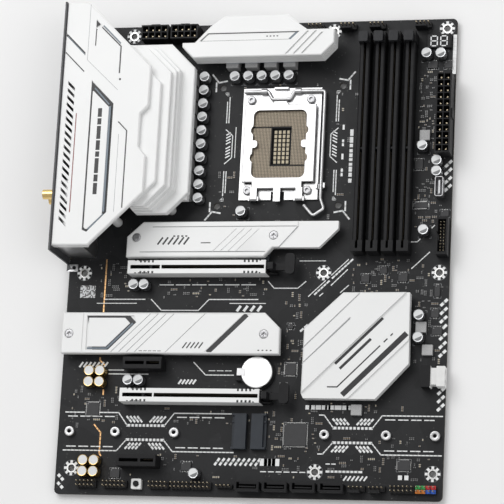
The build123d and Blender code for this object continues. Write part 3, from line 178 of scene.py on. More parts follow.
class Finish:
    """A material under construction: its surface shader and its object coordinates."""

    def __init__(self, name, metal=0.0, rough=0.5, coat=0.0, specular=0.5):
        self.material = bpy.data.materials.new(name)
        self.material.use_nodes = True
        self.tree = self.material.node_tree
        self.shader = self.tree.nodes["Principled BSDF"]
        self.shader.inputs["Metallic"].default_value = metal
        self.shader.inputs["Roughness"].default_value = rough
        self.shader.inputs["Coat Weight"].default_value = coat
        self.shader.inputs["Coat Roughness"].default_value = 0.12
        self.shader.inputs["Specular IOR Level"].default_value = specular
        start = Field(self.tree)
        self.place = start.node("ShaderNodeTexCoord", output="Object")
        self.facing = start.node("ShaderNodeTexCoord", output="Normal")

    def axis(self, index, source=None):
        """One coordinate in millimetres, or one part of the surface normal."""
        if source is not None:
            return source.node("ShaderNodeSeparateXYZ", inputs={0: source}, output=index)
        return self.place.node("ShaderNodeSeparateXYZ", inputs={0: self.place}, output=index) * (1 / MM)

    def noise(self, size, detail=2.0, stretch=(1, 1, 1)):
        """Soft noise whose patches are about size millimetres across."""
        vector = self.place.node("ShaderNodeMapping", inputs={"Vector": self.place, "Scale": stretch})
        inputs = {"Vector": vector, "Scale": 1 / (size * MM), "Detail": detail}
        return self.place.node("ShaderNodeTexNoise", inputs=inputs, output="Fac")

    def cells(self, size, metric="EUCLIDEAN", output="Distance", jitter=1.0):
        inputs = {"Vector": self.place, "Scale": 1 / (size * MM), "Randomness": jitter}
        return self.place.node("ShaderNodeTexVoronoi", {"distance": metric}, inputs, output)

    def blend(self, factor, first, second):
        def full(colour):
            return colour if isinstance(colour, Field) else (*colour, 1)
        inputs = {0: factor, 6: full(first), 7: full(second)}
        return self.place.node("ShaderNodeMix", {"data_type": "RGBA"}, inputs, 2)

    def set(self, name, field):
        self.tree.links.new(field.socket, self.shader.inputs[name])

    def bump(self, height, depth, strength=1.0):
        inputs = {"Height": height, "Distance": depth * MM, "Strength": strength}
        self.set("Normal", self.place.node("ShaderNodeBump", inputs=inputs))


def shade(colour, amount):
    return tuple(c * amount for c in colour)


# ---- finishes
def powder_coat(name, colour, rough=0.42):
    """Satin paint with a fine orange peel and faint clouding."""
    made = Finish(name, rough=rough, coat=0.15)
    cloud = made.noise(38, 3.0)
    made.set("Base Color", made.blend(cloud, shade(colour, 0.95), colour))
    made.set("Roughness", made.noise(9) * 0.14 + (rough - 0.07))
    made.bump(made.noise(0.35), 0.012, 0.35)
    return made.material


def moulded(name, colour, rough=0.45, coarse=0.3, specular=0.5):
    """Moulded plastic with spark texture and slight gloss changes."""
    made = Finish(name, rough=rough, specular=specular)
    made.set("Base Color", made.blend(made.noise(6, 3.0), shade(colour, 0.8), shade(colour, 1.15)))
    made.set("Roughness", made.noise(2.5) * 0.2 + (rough - 0.1))
    made.bump(made.noise(coarse), 0.015, 0.3)
    return made.material


def plated(name, colour, rough=0.3, grain=(1, 1, 1)):
    """Plated or drawn metal; grain stretches the polish marks along one axis."""
    made = Finish(name, metal=1.0, rough=rough)
    polish = made.noise(0.5, 4.0, grain)
    made.set("Base Color", made.blend(made.noise(5), shade(colour, 0.86), colour))
    made.set("Roughness", polish * 0.22 + (rough - 0.11))
    made.bump(polish, 0.008, 0.4)
    return made.material


def solder_mask(name):
    """Black solder mask over copper routing, with tinned vias and a laminate edge."""
    made = Finish(name, rough=0.5, specular=0.25)
    x, y = made.axis(0), made.axis(1)
    pick = made.cells(14, "CHEBYCHEV", "Color")
    choice = pick.node("ShaderNodeSeparateColor", inputs={0: pick}, output=0)
    slanted = (x + y) * 0.7071
    level = x * (choice > 0.66) + y * (choice < 0.33)
    across = level + slanted * ((choice > 0.33) * (choice < 0.66))
    trace = across.math("FRACT", across * 1.35) > 0.55
    routed = made.noise(22, 1.0) > 0.47
    copper = trace * routed
    via_core = made.cells(2.6) < 0.105
    via = via_core * (made.noise(17, 1.0) > 0.5)
    tilt = made.axis(2, made.facing)
    flat = tilt.math("ABSOLUTE", tilt) > 0.5
    mask = made.blend(copper, (0.0115, 0.0118, 0.013), (0.0205, 0.021, 0.0225))
    tinned = made.blend(via * flat, mask, (0.12, 0.12, 0.115))
    made.set("Base Color", made.blend(flat, (0.055, 0.047, 0.03), tinned))
    made.set("Metallic", via * flat * 0.9)
    made.set("Roughness", 0.44 + made.noise(4) * 0.12)
    made.bump(copper + made.noise(0.5) * 0.3, 0.03, 0.5)
    return made.material


def contact_field(name):
    """Rows of dull bronze spring contacts in a dark land-grid insulator."""
    made = Finish(name, metal=0.3, rough=0.45)
    pitch = 0.94
    u = made.axis(0) * (1 / pitch)
    v = made.axis(1) * (1 / pitch)
    du = u.math("ABSOLUTE", u.math("FRACT", u) - 0.5)
    dv = v.math("ABSOLUTE", v.math("FRACT", v) - 0.5)
    spring = (du < 0.22) * (dv < 0.36)
    made.set("Base Color", made.blend(spring, (0.075, 0.06, 0.045), (0.36, 0.3, 0.215)))
    made.set("Metallic", spring * 0.35 + 0.1)
    made.set("Roughness", 0.5 - spring * 0.2)
    made.bump(spring, 0.12, 0.7)
    return made.material


def ferrite(name):
    """Pressed powder with dark and bright specks."""
    made = Finish(name, rough=0.55, metal=0.25)
    speck = made.cells(0.35) < 0.3
    made.set("Base Color", made.blend(speck, (0.42, 0.42, 0.42), (0.25, 0.25, 0.255)))
    made.set("Roughness", 0.5 + made.noise(0.8) * 0.2)
    made.bump(made.noise(0.25, 3.0), 0.03, 0.5)
    return made.material


def ribbed_contacts(name):
    """A contact row: separate dull bronze leaves with dark gaps between them."""
    made = Finish(name, metal=0.4, rough=0.45)
    along = made.axis(0) + made.axis(1)
    leaf = along.math("FRACT", along * (1 / 0.9)) > 0.4
    made.set("Base Color", made.blend(leaf, (0.012, 0.011, 0.01), (0.11, 0.088, 0.05)))
    made.set("Metallic", leaf * 0.4)
    made.bump(leaf, 0.1, 0.6)
    return made.material


def code_label(name):
    """White paper label with a meaningless block pattern."""
    made = Finish(name, rough=0.6)
    block = made.cells(0.8, "CHEBYCHEV", "Color", 0.0)
    tone = block.node("ShaderNodeSeparateColor", inputs={0: block}, output=1)
    made.set("Base Color", made.blend(tone > 0.52, (0.7, 0.71, 0.72), (0.14, 0.14, 0.14)))
    made.set("Roughness", 0.55 + made.noise(1.2) * 0.1)
    return made.material


WHITE_PAINT = (0.82, 0.825, 0.822)
white_metal = powder_coat("white_powder_coat", WHITE_PAINT)
# slate blue-grey strokes laid on flat white tops: painted shade standing in for the shaded faces of bevels
painted_bevel_shade = powder_coat("painted_bevel_shade_slate", (0.13, 0.165, 0.2), 0.38)
# near-black for print, stripes and notches; on the floors of grooves, slits and badge recesses it is painted
# shade
black_print_and_groove_shade = powder_coat("black_print_and_groove_shade", (0.012, 0.012, 0.014), 0.5)
accent_red = powder_coat("accent_dark_red", (0.2, 0.012, 0.012), 0.4)
print_white = powder_coat("board_print_white", (0.84, 0.85, 0.85), 0.6)
# grey for print and seams; on the floors of heatsink grooves and folds it is painted shade
grey_print_and_groove_shade = powder_coat("board_grey_print_and_groove_shade", (0.3, 0.31, 0.32), 0.6)
board_black = solder_mask("black_solder_mask")
black_plastic = moulded("black_connector_plastic", (0.0085, 0.0085, 0.0095), 0.5, 0.3, 0.22)
latch_grey = moulded("dark_grey_latch_plastic", (0.016, 0.0165, 0.019), 0.45, 0.3, 0.25)
m2_grey = moulded("storage_socket_plastic", (0.026, 0.031, 0.039), 0.45, 0.3, 0.3)
white_plastic = moulded("white_connector_plastic", (0.78, 0.78, 0.77), 0.38)
chip_black = moulded("chip_epoxy", (0.024, 0.024, 0.026), 0.5, 0.18)
display_black = moulded("display_face", (0.008, 0.008, 0.009), 0.4, 0.3, 0.2)
digit_pale = moulded("display_segments", (0.8, 0.81, 0.82), 0.35)
pad_grey = moulded("thermal_pad", (0.33, 0.36, 0.41), 0.8, 0.6)
ceramic_tan = moulded("ceramic_chip", (0.2, 0.145, 0.085), 0.4, 0.15)
ceramic_cream = moulded("ceramic_cream", (0.5, 0.43, 0.3), 0.45, 0.2)
resistor_black = moulded("resistor_glaze", (0.02, 0.02, 0.02), 0.3, 0.15)
bright_steel = plated("bright_nickel_steel", (0.6, 0.6, 0.605), 0.34, (1, 14, 1))
screw_steel = plated("screw_steel", (0.4, 0.4, 0.41), 0.36)
pin_metal = plated("pin_tin_gold", (0.42, 0.36, 0.26), 0.4)
dark_steel = powder_coat("dark_coated_steel", (0.035, 0.036, 0.04), 0.45)
boss_steel = plated("boss_steel", (0.66, 0.66, 0.67), 0.36)
can_silver = plated("can_aluminium", (0.62, 0.63, 0.65), 0.32)
can_gold = plated("can_gold_tone", (0.86, 0.6, 0.22), 0.27)
can_print = moulded("can_top_print", (0.17, 0.175, 0.18), 0.4, 0.2)
can_top = moulded("can_satin_top", (0.72, 0.73, 0.735), 0.35, 0.5)
gold = plated("gold_plate", (0.93, 0.67, 0.28), 0.24)
tin = plated("tinned_pad", (0.74, 0.74, 0.73), 0.36)
dull_tin = plated("dull_solder", (0.34, 0.34, 0.34), 0.5)
copper_line = plated("bare_copper_gold", (0.7, 0.42, 0.2), 0.38)
cell_steel = plated("cell_steel", (0.74, 0.74, 0.74), 0.3, (12, 1, 1))
ferrite_grey = ferrite("choke_ferrite")
bronze_field = contact_field("land_grid_contacts")
contact_rows = ribbed_contacts("slot_contact_rows")
paper_code = code_label("paper_code_label")
pin_colours = {
    "green": moulded("pin_base_green", (0.02, 0.32, 0.07)),
    "red": moulded("pin_base_red", (0.5, 0.02, 0.02)),
    "orange": moulded("pin_base_orange", (0.62, 0.19, 0.02)),
    "blue": moulded("pin_base_blue", (0.02, 0.1, 0.5)),
}


# ---- modelling by hand
def deselect():
    if bpy.context.mode != "OBJECT":
        bpy.ops.object.mode_set(mode="OBJECT")
    bpy.ops.object.select_all(action="DESELECT")


def hold(piece):
    deselect()
    piece.select_set(True)
    bpy.context.view_layer.objects.active = piece


def edit(piece):
    hold(piece)
    bpy.ops.object.mode_set(mode="EDIT")
    bpy.ops.mesh.select_mode(type="FACE")
    bpy.ops.mesh.select_all(action="SELECT")


def choose(piece, test):
    """Select the faces whose middle, in millimetres, and normal pass the test."""
    edit(piece)
    bpy.ops.mesh.select_all(action="DESELECT")
    bpy.ops.object.mode_set(mode="OBJECT")
    for face in piece.data.polygons:
        face.select = test(face.center / MM, face.normal)
    bpy.ops.object.mode_set(mode="EDIT")


def faces_up(centre, normal):
    return normal.z > 0.9


def settle(piece):
    hold(piece)
    bpy.ops.object.transform_apply(location=True, rotation=True, scale=True)
    return piece


def brick(corner_low, corner_high, finish):
    """A cube primitive stretched between two corners, in millimetres."""
    deselect()
    size = [b - a for a, b in zip(corner_low, corner_high)]
    centre = [(a + b) / 2 * MM for a, b in zip(corner_low, corner_high)]
    bpy.ops.mesh.primitive_cube_add(size=1, location=centre)
    piece = bpy.context.object
    piece.scale = [s * MM for s in size]
    piece.data.materials.append(finish)
    return settle(piece)


def drum(x, y, z0, z1, radius, finish, sides=24):
    deselect()
    place = (x * MM, y * MM, (z0 + z1) / 2 * MM)
    bpy.ops.mesh.primitive_cylinder_add(
        vertices=sides, radius=radius * MM, depth=(z1 - z0) * MM, location=place
    )
    piece = bpy.context.object
    piece.data.materials.append(finish)
    return settle(piece)


def round_off(piece, width, segments=2, angle=35):
    """Bevel the sharp edges with a modifier and smooth the shading between them."""
    edit(piece)
    bpy.ops.mesh.select_all(action="DESELECT")
    bpy.ops.mesh.select_face_by_sides(number=4, type="GREATER")
    bpy.ops.mesh.quads_convert_to_tris(quad_method="BEAUTY", ngon_method="BEAUTY")
    hold(piece)
    modifier = piece.modifiers.new("edge", "BEVEL")
    modifier.width = width * MM
    modifier.segments = segments
    modifier.limit_method = "ANGLE"
    modifier.angle_limit = math.radians(angle)
    bpy.ops.object.modifier_apply(modifier="edge")
    bpy.ops.object.shade_smooth_by_angle(angle=math.radians(angle))
    even = piece.modifiers.new("even", "WEIGHTED_NORMAL")
    even.mode = "FACE_AREA"
    even.weight = 100
    even.keep_sharp = True
    bpy.ops.object.modifier_apply(modifier="even")
    return piece


def slice_off(piece, point, normal):
    """Cut the piece at a plane, drop what is beyond it and close the cut."""
    edit(piece)
    where = [c * MM for c in point]
    bpy.ops.mesh.bisect(plane_co=where, plane_no=normal, use_fill=True, clear_outer=True)
    deselect()


def panel(name, outline, z0, z1, finish):
    """Flat plate with a convex outline, listed anticlockwise: a block cut along each side."""
    xs = [p[0] for p in outline]
    ys = [p[1] for p in outline]
    piece = brick((min(xs), min(ys), z0), (max(xs), max(ys), z1), finish)
    for (x0, y0), (x1, y1) in zip(outline, outline[1:] + outline[:1]):
        if abs(x1 - x0) > 0.01 and abs(y1 - y0) > 0.01:
            slice_off(piece, (x0, y0, z0), (y1 - y0, x0 - x1, 0))
    piece.name = name
    return piece


def sink_face(piece, test, border, depth):
    """Inset the chosen faces and push them down."""
    choose(piece, test)
    bpy.ops.mesh.inset(thickness=border * MM)
    bpy.ops.transform.translate(value=(0, 0, -depth * MM))
    deselect()


def repaint(piece, finish, test):
    """Give the chosen faces another finish."""
    piece.data.materials.append(finish)
    choose(piece, test)
    piece.active_material_index = len(piece.data.materials) - 1
    bpy.ops.object.material_slot_assign()
    deselect()


def join(name, pieces):
    deselect()
    for piece in pieces:
        piece.select_set(True)
    bpy.context.view_layer.objects.active = pieces[0]
    if len(pieces) > 1:
        bpy.ops.object.join()
    pieces[0].name = name
    return pieces[0]


def stamp(name, template, places):
    """Copies of a template, each with its own mesh, joined into one piece."""
    twins = []
    for place in places:
        twin = template.copy()
        twin.data = template.data.copy()
        twin.data.transform(place)
        bpy.context.collection.objects.link(twin)
        twins.append(twin)
    bpy.data.objects.remove(template)
    return join(name, twins)


def spot(x, y, z=0.0, turn=0.0, size=(1, 1, 1)):
    """Matrix that puts a template at a place in millimetres, turned about Z."""
    move = Matrix.Translation(Vector((x, y, z)) * MM)
    return move @ Matrix.Rotation(turn, 4, "Z") @ Matrix.Diagonal((*size, 1))


def over(a, b, z, shift=0.0, size=(1, 1, 1)):
    """Matrix that puts a template over the middle of a box, at height z."""
    return spot((a.x + b.x) / 2 + shift, (a.y + b.y) / 2, z, 0, size)


def belongs(piece, body="board", stands_for=()):
    if stands_for:
        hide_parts(*stands_for)
    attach(piece, body)
    return piece


def refine(node, edge, finish):
    """A welded copy of a CAD node with its edges softened, which stands for the node."""
    source = frame["nodes"][node]
    body = source["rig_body"]
    piece = source.copy()
    piece.data = source.data.copy()
    piece.parent = None
    for key in list(piece.keys()):
        del piece[key]
    bpy.context.collection.objects.link(piece)
    piece.name = node + "_finished"
    piece.data.materials.clear()
    piece.data.materials.append(finish)
    edit(piece)
    bpy.ops.mesh.remove_doubles(threshold=0.002 * MM)
    bpy.ops.mesh.dissolve_limited(angle_limit=math.radians(0.8))
    deselect()
    if edge:
        round_off(piece, edge)
    else:
        hold(piece)
        bpy.ops.object.shade_smooth_by_angle(angle=math.radians(35))
    return belongs(piece, body, stands_for=(node,))


# ---- printed lines
def line(points, width=0.4):
    """Straight strokes between successive points: start, end and width."""
    return [(a, b, width) for a, b in zip(points, points[1:])]


def strokes(*rows):
    """Several polylines; each row is a width and the points of one."""
    return [stroke for width, *points in rows for stroke in line(points, width)]


def dashes(start, end, dash, gap, width=0.4):
    """A broken line."""
    a, b = Vector(start), Vector(end)
    length = (b - a).length
    step = (b - a).normalized()
    marks = []
    at = 0.0
    while at + dash <= length + 0.01:
        marks.append((tuple(a + step * at), tuple(a + step * (at + dash)), width))
        at += dash + gap
    return marks


def hatch(x, y, count, pitch=1.6, rise=2.6, width=0.7):
    """A run of slashes that lean to the right."""
    return [((x + i * pitch, y), (x + i * pitch + rise * 0.7, y + rise), width) for i in range(count)]


def ink(name, finish, marks, z, thickness=0.04):
    """Raised print and painted shade: every mark is a thin bar on the surface at height z."""
    template = brick((-0.5, -0.5, 0), (0.5, 0.5, 1), finish)
    places = []
    for start, end, width in marks:
        a, b = Vector(start), Vector(end)
        centre = (a + b) / 2
        turn = math.atan2(b.y - a.y, b.x - a.x)
        places.append(spot(centre.x, centre.y, z, turn, ((b - a).length + width * 0.5, width, thickness)))
    return belongs(stamp(name, template, places))


def ink_white(name, finish, z, thickness, *rows):
    """Print, and painted shade of bevels and grooves, on a white piece; the rows are those of strokes."""
    return ink(name, finish, strokes(*rows), z, thickness)


def placed(marks, x, y, sx=1, sy=1):
    """The same strokes set off by x and y; a sign of -1 mirrors them first."""
    def put(point):
        return (x + sx * point[0], y + sy * point[1])
    return [(put(start), put(end), width) for start, end, width in marks]


def mirrored(marks, about):
    """The same strokes on the other side of the line x = about."""
    return placed(marks, 2 * about, 0, -1)


def socket_print():
    """Marks around the processor socket, most of them on all four sides."""
    corner = strokes(
        (0.7, (36.6, 43.6), (42.0, 42.6), (46.4, 48.0)), (0.7, (43.6, 36.6), (43.6, 42.6)),
        (0.7, (35.5, 35.4), (37.1, 35.4), (35.5, 33.8), (35.5, 35.4)),
    )
    marks = []
    for sx in (-1, 1):
        for sy in (-1, 1):
            marks += placed(corner, 0, 0, sx, sy)
    side = strokes(
        (0.4, (-35.7, 29.7), (-35.7, 15.7)), (0.4, (-34.2, 32.7), (-34.2, 15.7)),
        (0.4, (-35.7, 11.2), (-31.2, 7.2), (-31.2, -7.3), (-35.7, -11.3)),
        (0.4, (-35.7, -16.3), (-35.7, -32.3)), (0.4, (-34.2, -16.3), (-34.2, -30.3)),
        (0.3, (-29.2, 12.7), (-29.2, -7.3)),
    )
    for low_y in (-7.3, 1.7):
        for y in [low_y + i * 2.0 for i in range(4)]:
            side.append(((-35.2, y), (-32.6, y + 1.4), 0.5))
    marks += side + mirrored(side, 0.6)
    return placed(marks, socket.x, socket.y)


def middle_print():
    """Lines between the upper storage cover and the lower one."""
    marks = strokes(
        (0.4, (209, 19.5), (213, 19.5), (223.5, 30)), (0.4, (210, 2.5), (221, 13)),
        (0.7, (173, 8.5), (148, -15.5)), (0.35, (170.4, 8.5), (146, -15)),
        (0.4, (170, 2), (160, -8)), (0.4, (155, -13), (147, -20)), (0.4, (171, -8), (166, -12.6)),
        (0.3, (147, 10), (161, 10)), (0.3, (137, 7.6), (156, 7.6)),
        (0.4, (120, -5.5), (124, -9.8), (139, -9.8), (144, -5.5)),
    )
    marks += dashes((50, -7.6), (117, -7.6), 9, 1.6, 0.35)
    marks += strokes(
        (0.4, (14.5, -16.9), (41, -16.9)), (0.4, (45, -16.9), (52, -24), (58, -24)),
        (0.4, (58, -24), (76, -24), (82.5, -17), (114, -17)),
        (0.3, (9.5, -19.5), (35.5, -19.5)), (0.3, (96, -19.5), (119, -19.5)),
    )
    marks += hatch(101, -24.2, 4, 4.4, 2.8, 1.2)
    marks += dashes((142, -37), (156, -24), 2.2, 1.3, 0.9)
    return marks


def lower_print():
    """Lines between the second long slot's storage cover and the storage bays."""
    marks = hatch(1, -60.4, 7, 2.7, 2.8, 0.8)
    marks += line([(20, -62.3), (30, -62.3)], 0.3) + line([(18, -64.8), (46, -64.8)])
    marks += line([(75, -57), (83, -65), (101, -65)]) + dashes((85, -62.3), (101, -62.3), 4, 1.2, 0.3)
    marks += hatch(66, -70.6, 5, 2.3, 2.4, 0.8)
    return marks


def bay_print():
    """The frames of the two storage bays either side of the connectors."""
    marks = []
    rows = standoff_rows()
    for bay, near in ((rows[:3], rows[1:3]), (rows[3:], rows[3:5])):
        x0, x1 = bay[0] - 4, bay[2] + 4
        if bay == rows[:3]:
            x1 += 34
        notch = (near[0] + near[1]) / 2 - (2.0 if bay == rows[3:] else 0.0)
        for y, dip, sign in ((-89.3, 7.9, 1), (-113.3, 7.1, -1)):
            bar = y - sign * dip
            marks += line([(x0, y), (notch - 18, y), (notch - 12, bar)], 0.45)
            marks += line([(notch + 12, bar), (notch + 18, y), (x1, y)], 0.45)
            marks += line([(notch - 12, bar), (notch + 12, bar)], 1.1)
            marks += dashes((x0 + 2, y - sign * 2.5), (notch - 20, y - sign * 2.5), 6, 2, 0.4)
            marks += dashes((notch + 20, y - sign * 2.5), (x1 - 2, y - sign * 2.5), 6, 2, 0.4)
            near_bar, far_bar = bar + sign * 2.2, bar + sign * 5.6
            slashes = [
                ((notch - 2.6 - i * 2.3, near_bar), (notch - 5.6 - i * 2.3, far_bar), 0.8) for i in range(4)
            ]
            marks += slashes + mirrored(slashes, notch)
    return marks


def standoff_rows():
    return [((a + b) / 2).x for a, b in solids("m2_standoffs") if (a.y + b.y) / 2 < -95]


def edge_print():
    """Ladders, bars and slashes along the front and bottom edges."""
    x = board_high.x - 1.2
    marks = dashes((x, 128), (x, 155), 1.4, 1.2, 1.6)
    marks += line([(x - 0.6, 93), (x - 0.6, 110)], 0.6)
    for y in [68, 63, 57.5, 52.5] + [-20 - i * 5.3 for i in range(7)] + [-75, -80, -85]:
        marks.append(((x - 3.4, y - 0.6), (x + 0.2, y + 3.0), 1.25))
    bottom = board_low.y
    marks += hatch(92, bottom + 20, 9, 3.2, 3.8, 1.0)
    marks += line([(121.5, bottom + 22), (131.5, bottom + 22)], 3.2)
    marks += dashes((121, bottom + 16.2), (149, bottom + 16.2), 3.4, 1.5, 0.4)
    marks += dashes((158, bottom + 21.6), (170, bottom + 21.6), 2.4, 1.2, 0.4)
    marks += line([(162, bottom + 17), (184, bottom + 17)], 0.9)
    marks += hatch(173, bottom + 11.8, 6, 2.5, 2.4, 0.7)
    marks += line([(207, bottom + 14), (212, bottom + 14)], 2.0)
    for y in (bottom + 10, bottom + 5):
        marks.append(((-8.0, y + 2), (-5.0, y - 1), 1.3))
    return marks


def generic_badges():
    """Plain bars where a board carries words: rows of blocks that spell nothing."""
    marks = []
    bars = (5.4, 2.2, 3.8, 1.4, 4.6, 2.8, 3.2)
    y = socket.y - 24
    for i, length in enumerate(bars):
        marks += line([(socket.x + 45.8, y), (socket.x + 45.8, y + length)], 1.5)
        if i % 2 == 0:
            marks += line([(socket.x + 40.4, y + 4), (socket.x + 40.4, y + 4 + length * 0.8)], 0.9)
        y += length + 1.7
    x = 148.0
    for length in (4.6, 2.0, 6.2, 3.0, 5.0):
        marks += line([(x, -84.6), (x + length, -84.6)], 1.9)
        x += length + 1.8
    return marks


def outlines_of_parts():
    """Corner brackets around the chips and some of the cans, set off from their own boxes."""
    marks = []
    marked_cans, gap, arm = 14, 0.7, 1.2
    for a, b in solids("ic_packages") + solids("polymer_capacitors")[-marked_cans:]:
        x0, x1, y0, y1 = a.x - gap, b.x + gap, a.y - gap, b.y + gap
        corners = [(x0, y0), (x1, y0), (x1, y1), (x0, y1)]
        for i, corner in enumerate(corners):
            for other in (corners[i - 1], corners[(i + 1) % 4]):
                direction = (Vector(other) - Vector(corner)).normalized() * arm
                marks.append((corner, tuple(Vector(corner) + direction), 0.18))
    return marks


def gold_traces():
    """The separating lines of the sound section, bare and gold coloured."""
    low_y = board_low.y + 0.6
    return strokes(
        (0.9, (14.2, 28), (14.2, -25)),
        (0.9, (14, -54.4), (14, -56), (19.5, -61.5), (19.5, -73), (17.5, -75), (17.5, -78)),
        (0.9, (13, -97), (17.5, -102), (17.5, -115), (19.5, -118), (19.5, low_y + 10)),
    )


def make_board_print():
    """All print on the board; gives back the boxes that its strokes take."""
    parts = keep_out(0.3)
    white = socket_print() + middle_print() + lower_print() + bay_print() + edge_print() + generic_badges()
    gain, extra = 1.35, 0.1
    white = [(start, end, width * gain + extra) for start, end, width in cut_short(white, parts)]
    gold_lines = cut_short(gold_traces(), parts)
    ink("board_print_white", print_white, white, deck)
    ink("board_print_outlines", grey_print_and_groove_shade, outlines_of_parts(), deck)
    ink("board_gold_lines", copper_line, gold_lines, deck, 0.03)
    taken = []
    for start, end, width in white + gold_lines:
        xs, ys = sorted((start[0], end[0])), sorted((start[1], end[1]))
        reach = width / 2 + 0.6
        taken.append((xs[0] - reach, xs[1] + reach, ys[0] - reach, ys[1] + reach))
    return taken


# ---- mounting pads and solder
def hole_places(names):
    """Centres of the holes of some of the record's mounts."""
    holes = set()
    for mount in frame["record"]["mounts"]:
        if mount["name"] not in names:
            continue
        x, y = mount["pos_m"][0] / MM, mount["pos_m"][1] / MM
        dx = mount["dims"].get("spacing_x_mm", 0) / 2
        dy = mount["dims"].get("spacing_y_mm", 0) / 2
        holes |= {(round(x + sx * dx, 2), round(y + sy * dy, 2)) for sx in (-1, 1) for sy in (-1, 1)}
    return sorted(holes)


BOARD_HOLES = ("datum_hole", "front_lower_holes", "rear_holes", "top_holes", "front_upper_holes")


def open_ring(radius, width, finish):
    """Flat ring: a thin drum whose two ends are opened inside a border."""
    ring = drum(0, 0, 0, 0.05, radius, finish, 32)
    choose(ring, faces_up)
    bpy.ops.mesh.inset(thickness=width * MM)
    bpy.ops.mesh.delete(type="FACE")
    deselect()
    choose(ring, lambda c, n: n.z < -0.9)
    bpy.ops.mesh.delete(type="FACE")
    deselect()
    return ring


def ground_pads():
    """Tinned ring, eight broad petals and a printed circle around each board mounting hole."""
    holes = hole_places(BOARD_HOLES)
    centres = [spot(x, y, deck) for x, y in holes]
    inner = stamp("ring_pads", open_ring(3.1, 0.95, tin), centres)
    outer = stamp("ring_print", open_ring(4.95, 0.12, grey_print_and_groove_shade), centres)
    petal = brick((2.9, -0.82, 0), (4.7, 0.82, 0.05), print_white)
    round_off(petal, 0.35, 2, 60)
    turns = [math.pi / 4 * i for i in range(8)]
    petals = stamp("petal_pads", petal, [spot(x, y, deck, t) for x, y in holes for t in turns])
    return belongs(join("mounting_hole_pads", [inner, outer, petals]))


def solder_joints():
    """Solder cones under the pins and under the two legs of each can."""
    cone = drum(0, 0, -0.9, 0, 0.85, tin, 12)
    choose(cone, lambda c, n: n.z < -0.9)
    bpy.ops.transform.resize(value=(0.35, 0.35, 1))
    deselect()
    round_off(cone, 0.12, 1, 40)
    places = []
    for node in ("power_pins", "header_pins"):
        places += [over(a, b, board_low.z, 0, (0.9, 0.9, 1)) for a, b in solids(node)]
    leg_offset = 1.25
    for node in ("polymer_capacitors", "audio_capacitors"):
        for a, b in solids(node):
            for shift in (-leg_offset, leg_offset):
                places.append(over(a, b, board_low.z, shift, (0.8, 0.8, 0.8)))
    return belongs(stamp("solder_joints", cone, places))


# ---- small surface parts
def chip_part(length, width, height, body, ends):
    """A two-terminal chip: a body with a metal cap at each end."""
    piece = brick((-length / 2, -width / 2, 0), (length / 2, width / 2, height), body)
    edit(piece)
    for side in (-1, 1):
        bpy.ops.mesh.select_all(action="SELECT")
        cut = (side * length * 0.27 * MM, 0, 0)
        bpy.ops.mesh.bisect(plane_co=cut, plane_no=(1, 0, 0))
    deselect()
    repaint(piece, ends, lambda c, n: abs(c.x) > length * 0.3)
    return piece


def keep_out(margin):
    """Plan boxes of all that stands on the board, with a margin."""
    boxes = []
    skip = ("pcb", "ilm_backplate", "io_cover", "thermal_pads", "slot_contacts")
    for node in frame["nodes"]:
        if node in skip:
            continue
        for a, b in solids(node):
            if b.z > deck + 0.2:
                boxes.append((a.x - margin, b.x + margin, a.y - margin, b.y + margin))
    a, b = low("io_cover"), high("io_cover")
    boxes.append((a.x, b.x - 12.0, a.y, b.y))
    for names, reach in ((BOARD_HOLES, 5.0), (("cooler_holes",), 2.5)):
        for x, y in hole_places(names):
            boxes.append((x - reach - margin, x + reach + margin, y - reach - margin, y + reach + margin))
    return boxes


def inside(x, y, boxes):
    return any(x0 < x < x1 and y0 < y < y1 for x0, x1, y0, y1 in boxes)


def cut_short(marks, boxes, piece=2.4):
    """Strokes divided into short pieces, without the pieces that a part would cover."""
    kept_marks = []
    for start, end, width in marks:
        a, b = Vector(start), Vector(end)
        count = max(1, round((b - a).length / piece))
        for i in range(count):
            first, last = a.lerp(b, i / count), a.lerp(b, (i + 1) / count)
            centre = (first + last) / 2
            if not inside(centre.x, centre.y, boxes):
                kept_marks.append((tuple(first), tuple(last), width))
    return kept_marks


def busy_places():
    """Where the board is crowded: corners of a rectangle and how many groups it takes."""
    left, right, bottom = board_low.x, board_high.x, board_low.y
    power = middle("atx_power_housing")
    chip_low, chip_high = low("chipset_heatsink"), high("chipset_heatsink")
    slot = high("dimm_slot_4").x
    return (
        (slot, power.y - 36, power.x - 5, power.y + 30, 150), (slot, 28, right - 3, 60, 70),
        (chip_low.x - 20, chip_low.y, chip_low.x, chip_high.y, 80),
        (chip_low.x + 26, chip_high.y, chip_high.x + 12, 9, 90),
        (chip_high.x, chip_low.y + 20, right - 4, chip_high.y + 6, 60),
        (48, -16, 118, -3, 60), (52, -96, 128, -84, 45), (left + 8, -100, 29, -76, 60),
        (chip_low.x, chip_low.y - 8, chip_high.x, chip_low.y, 30), (124, -112, 158, -90, 60),
        (30, bottom + 12, right - 6, bottom + 26, 90), (162, bottom + 20, right - 6, bottom + 38, 40),
        (24, 22, 40, 34, 30), (88, 30, 160, 46, 60), (86, 116, 168, 124, 20), (left + 20, -16, 32, 10, 40),
        (150, 46, 172, 120, 14), (84, 50, 100, 116, 14),
    )


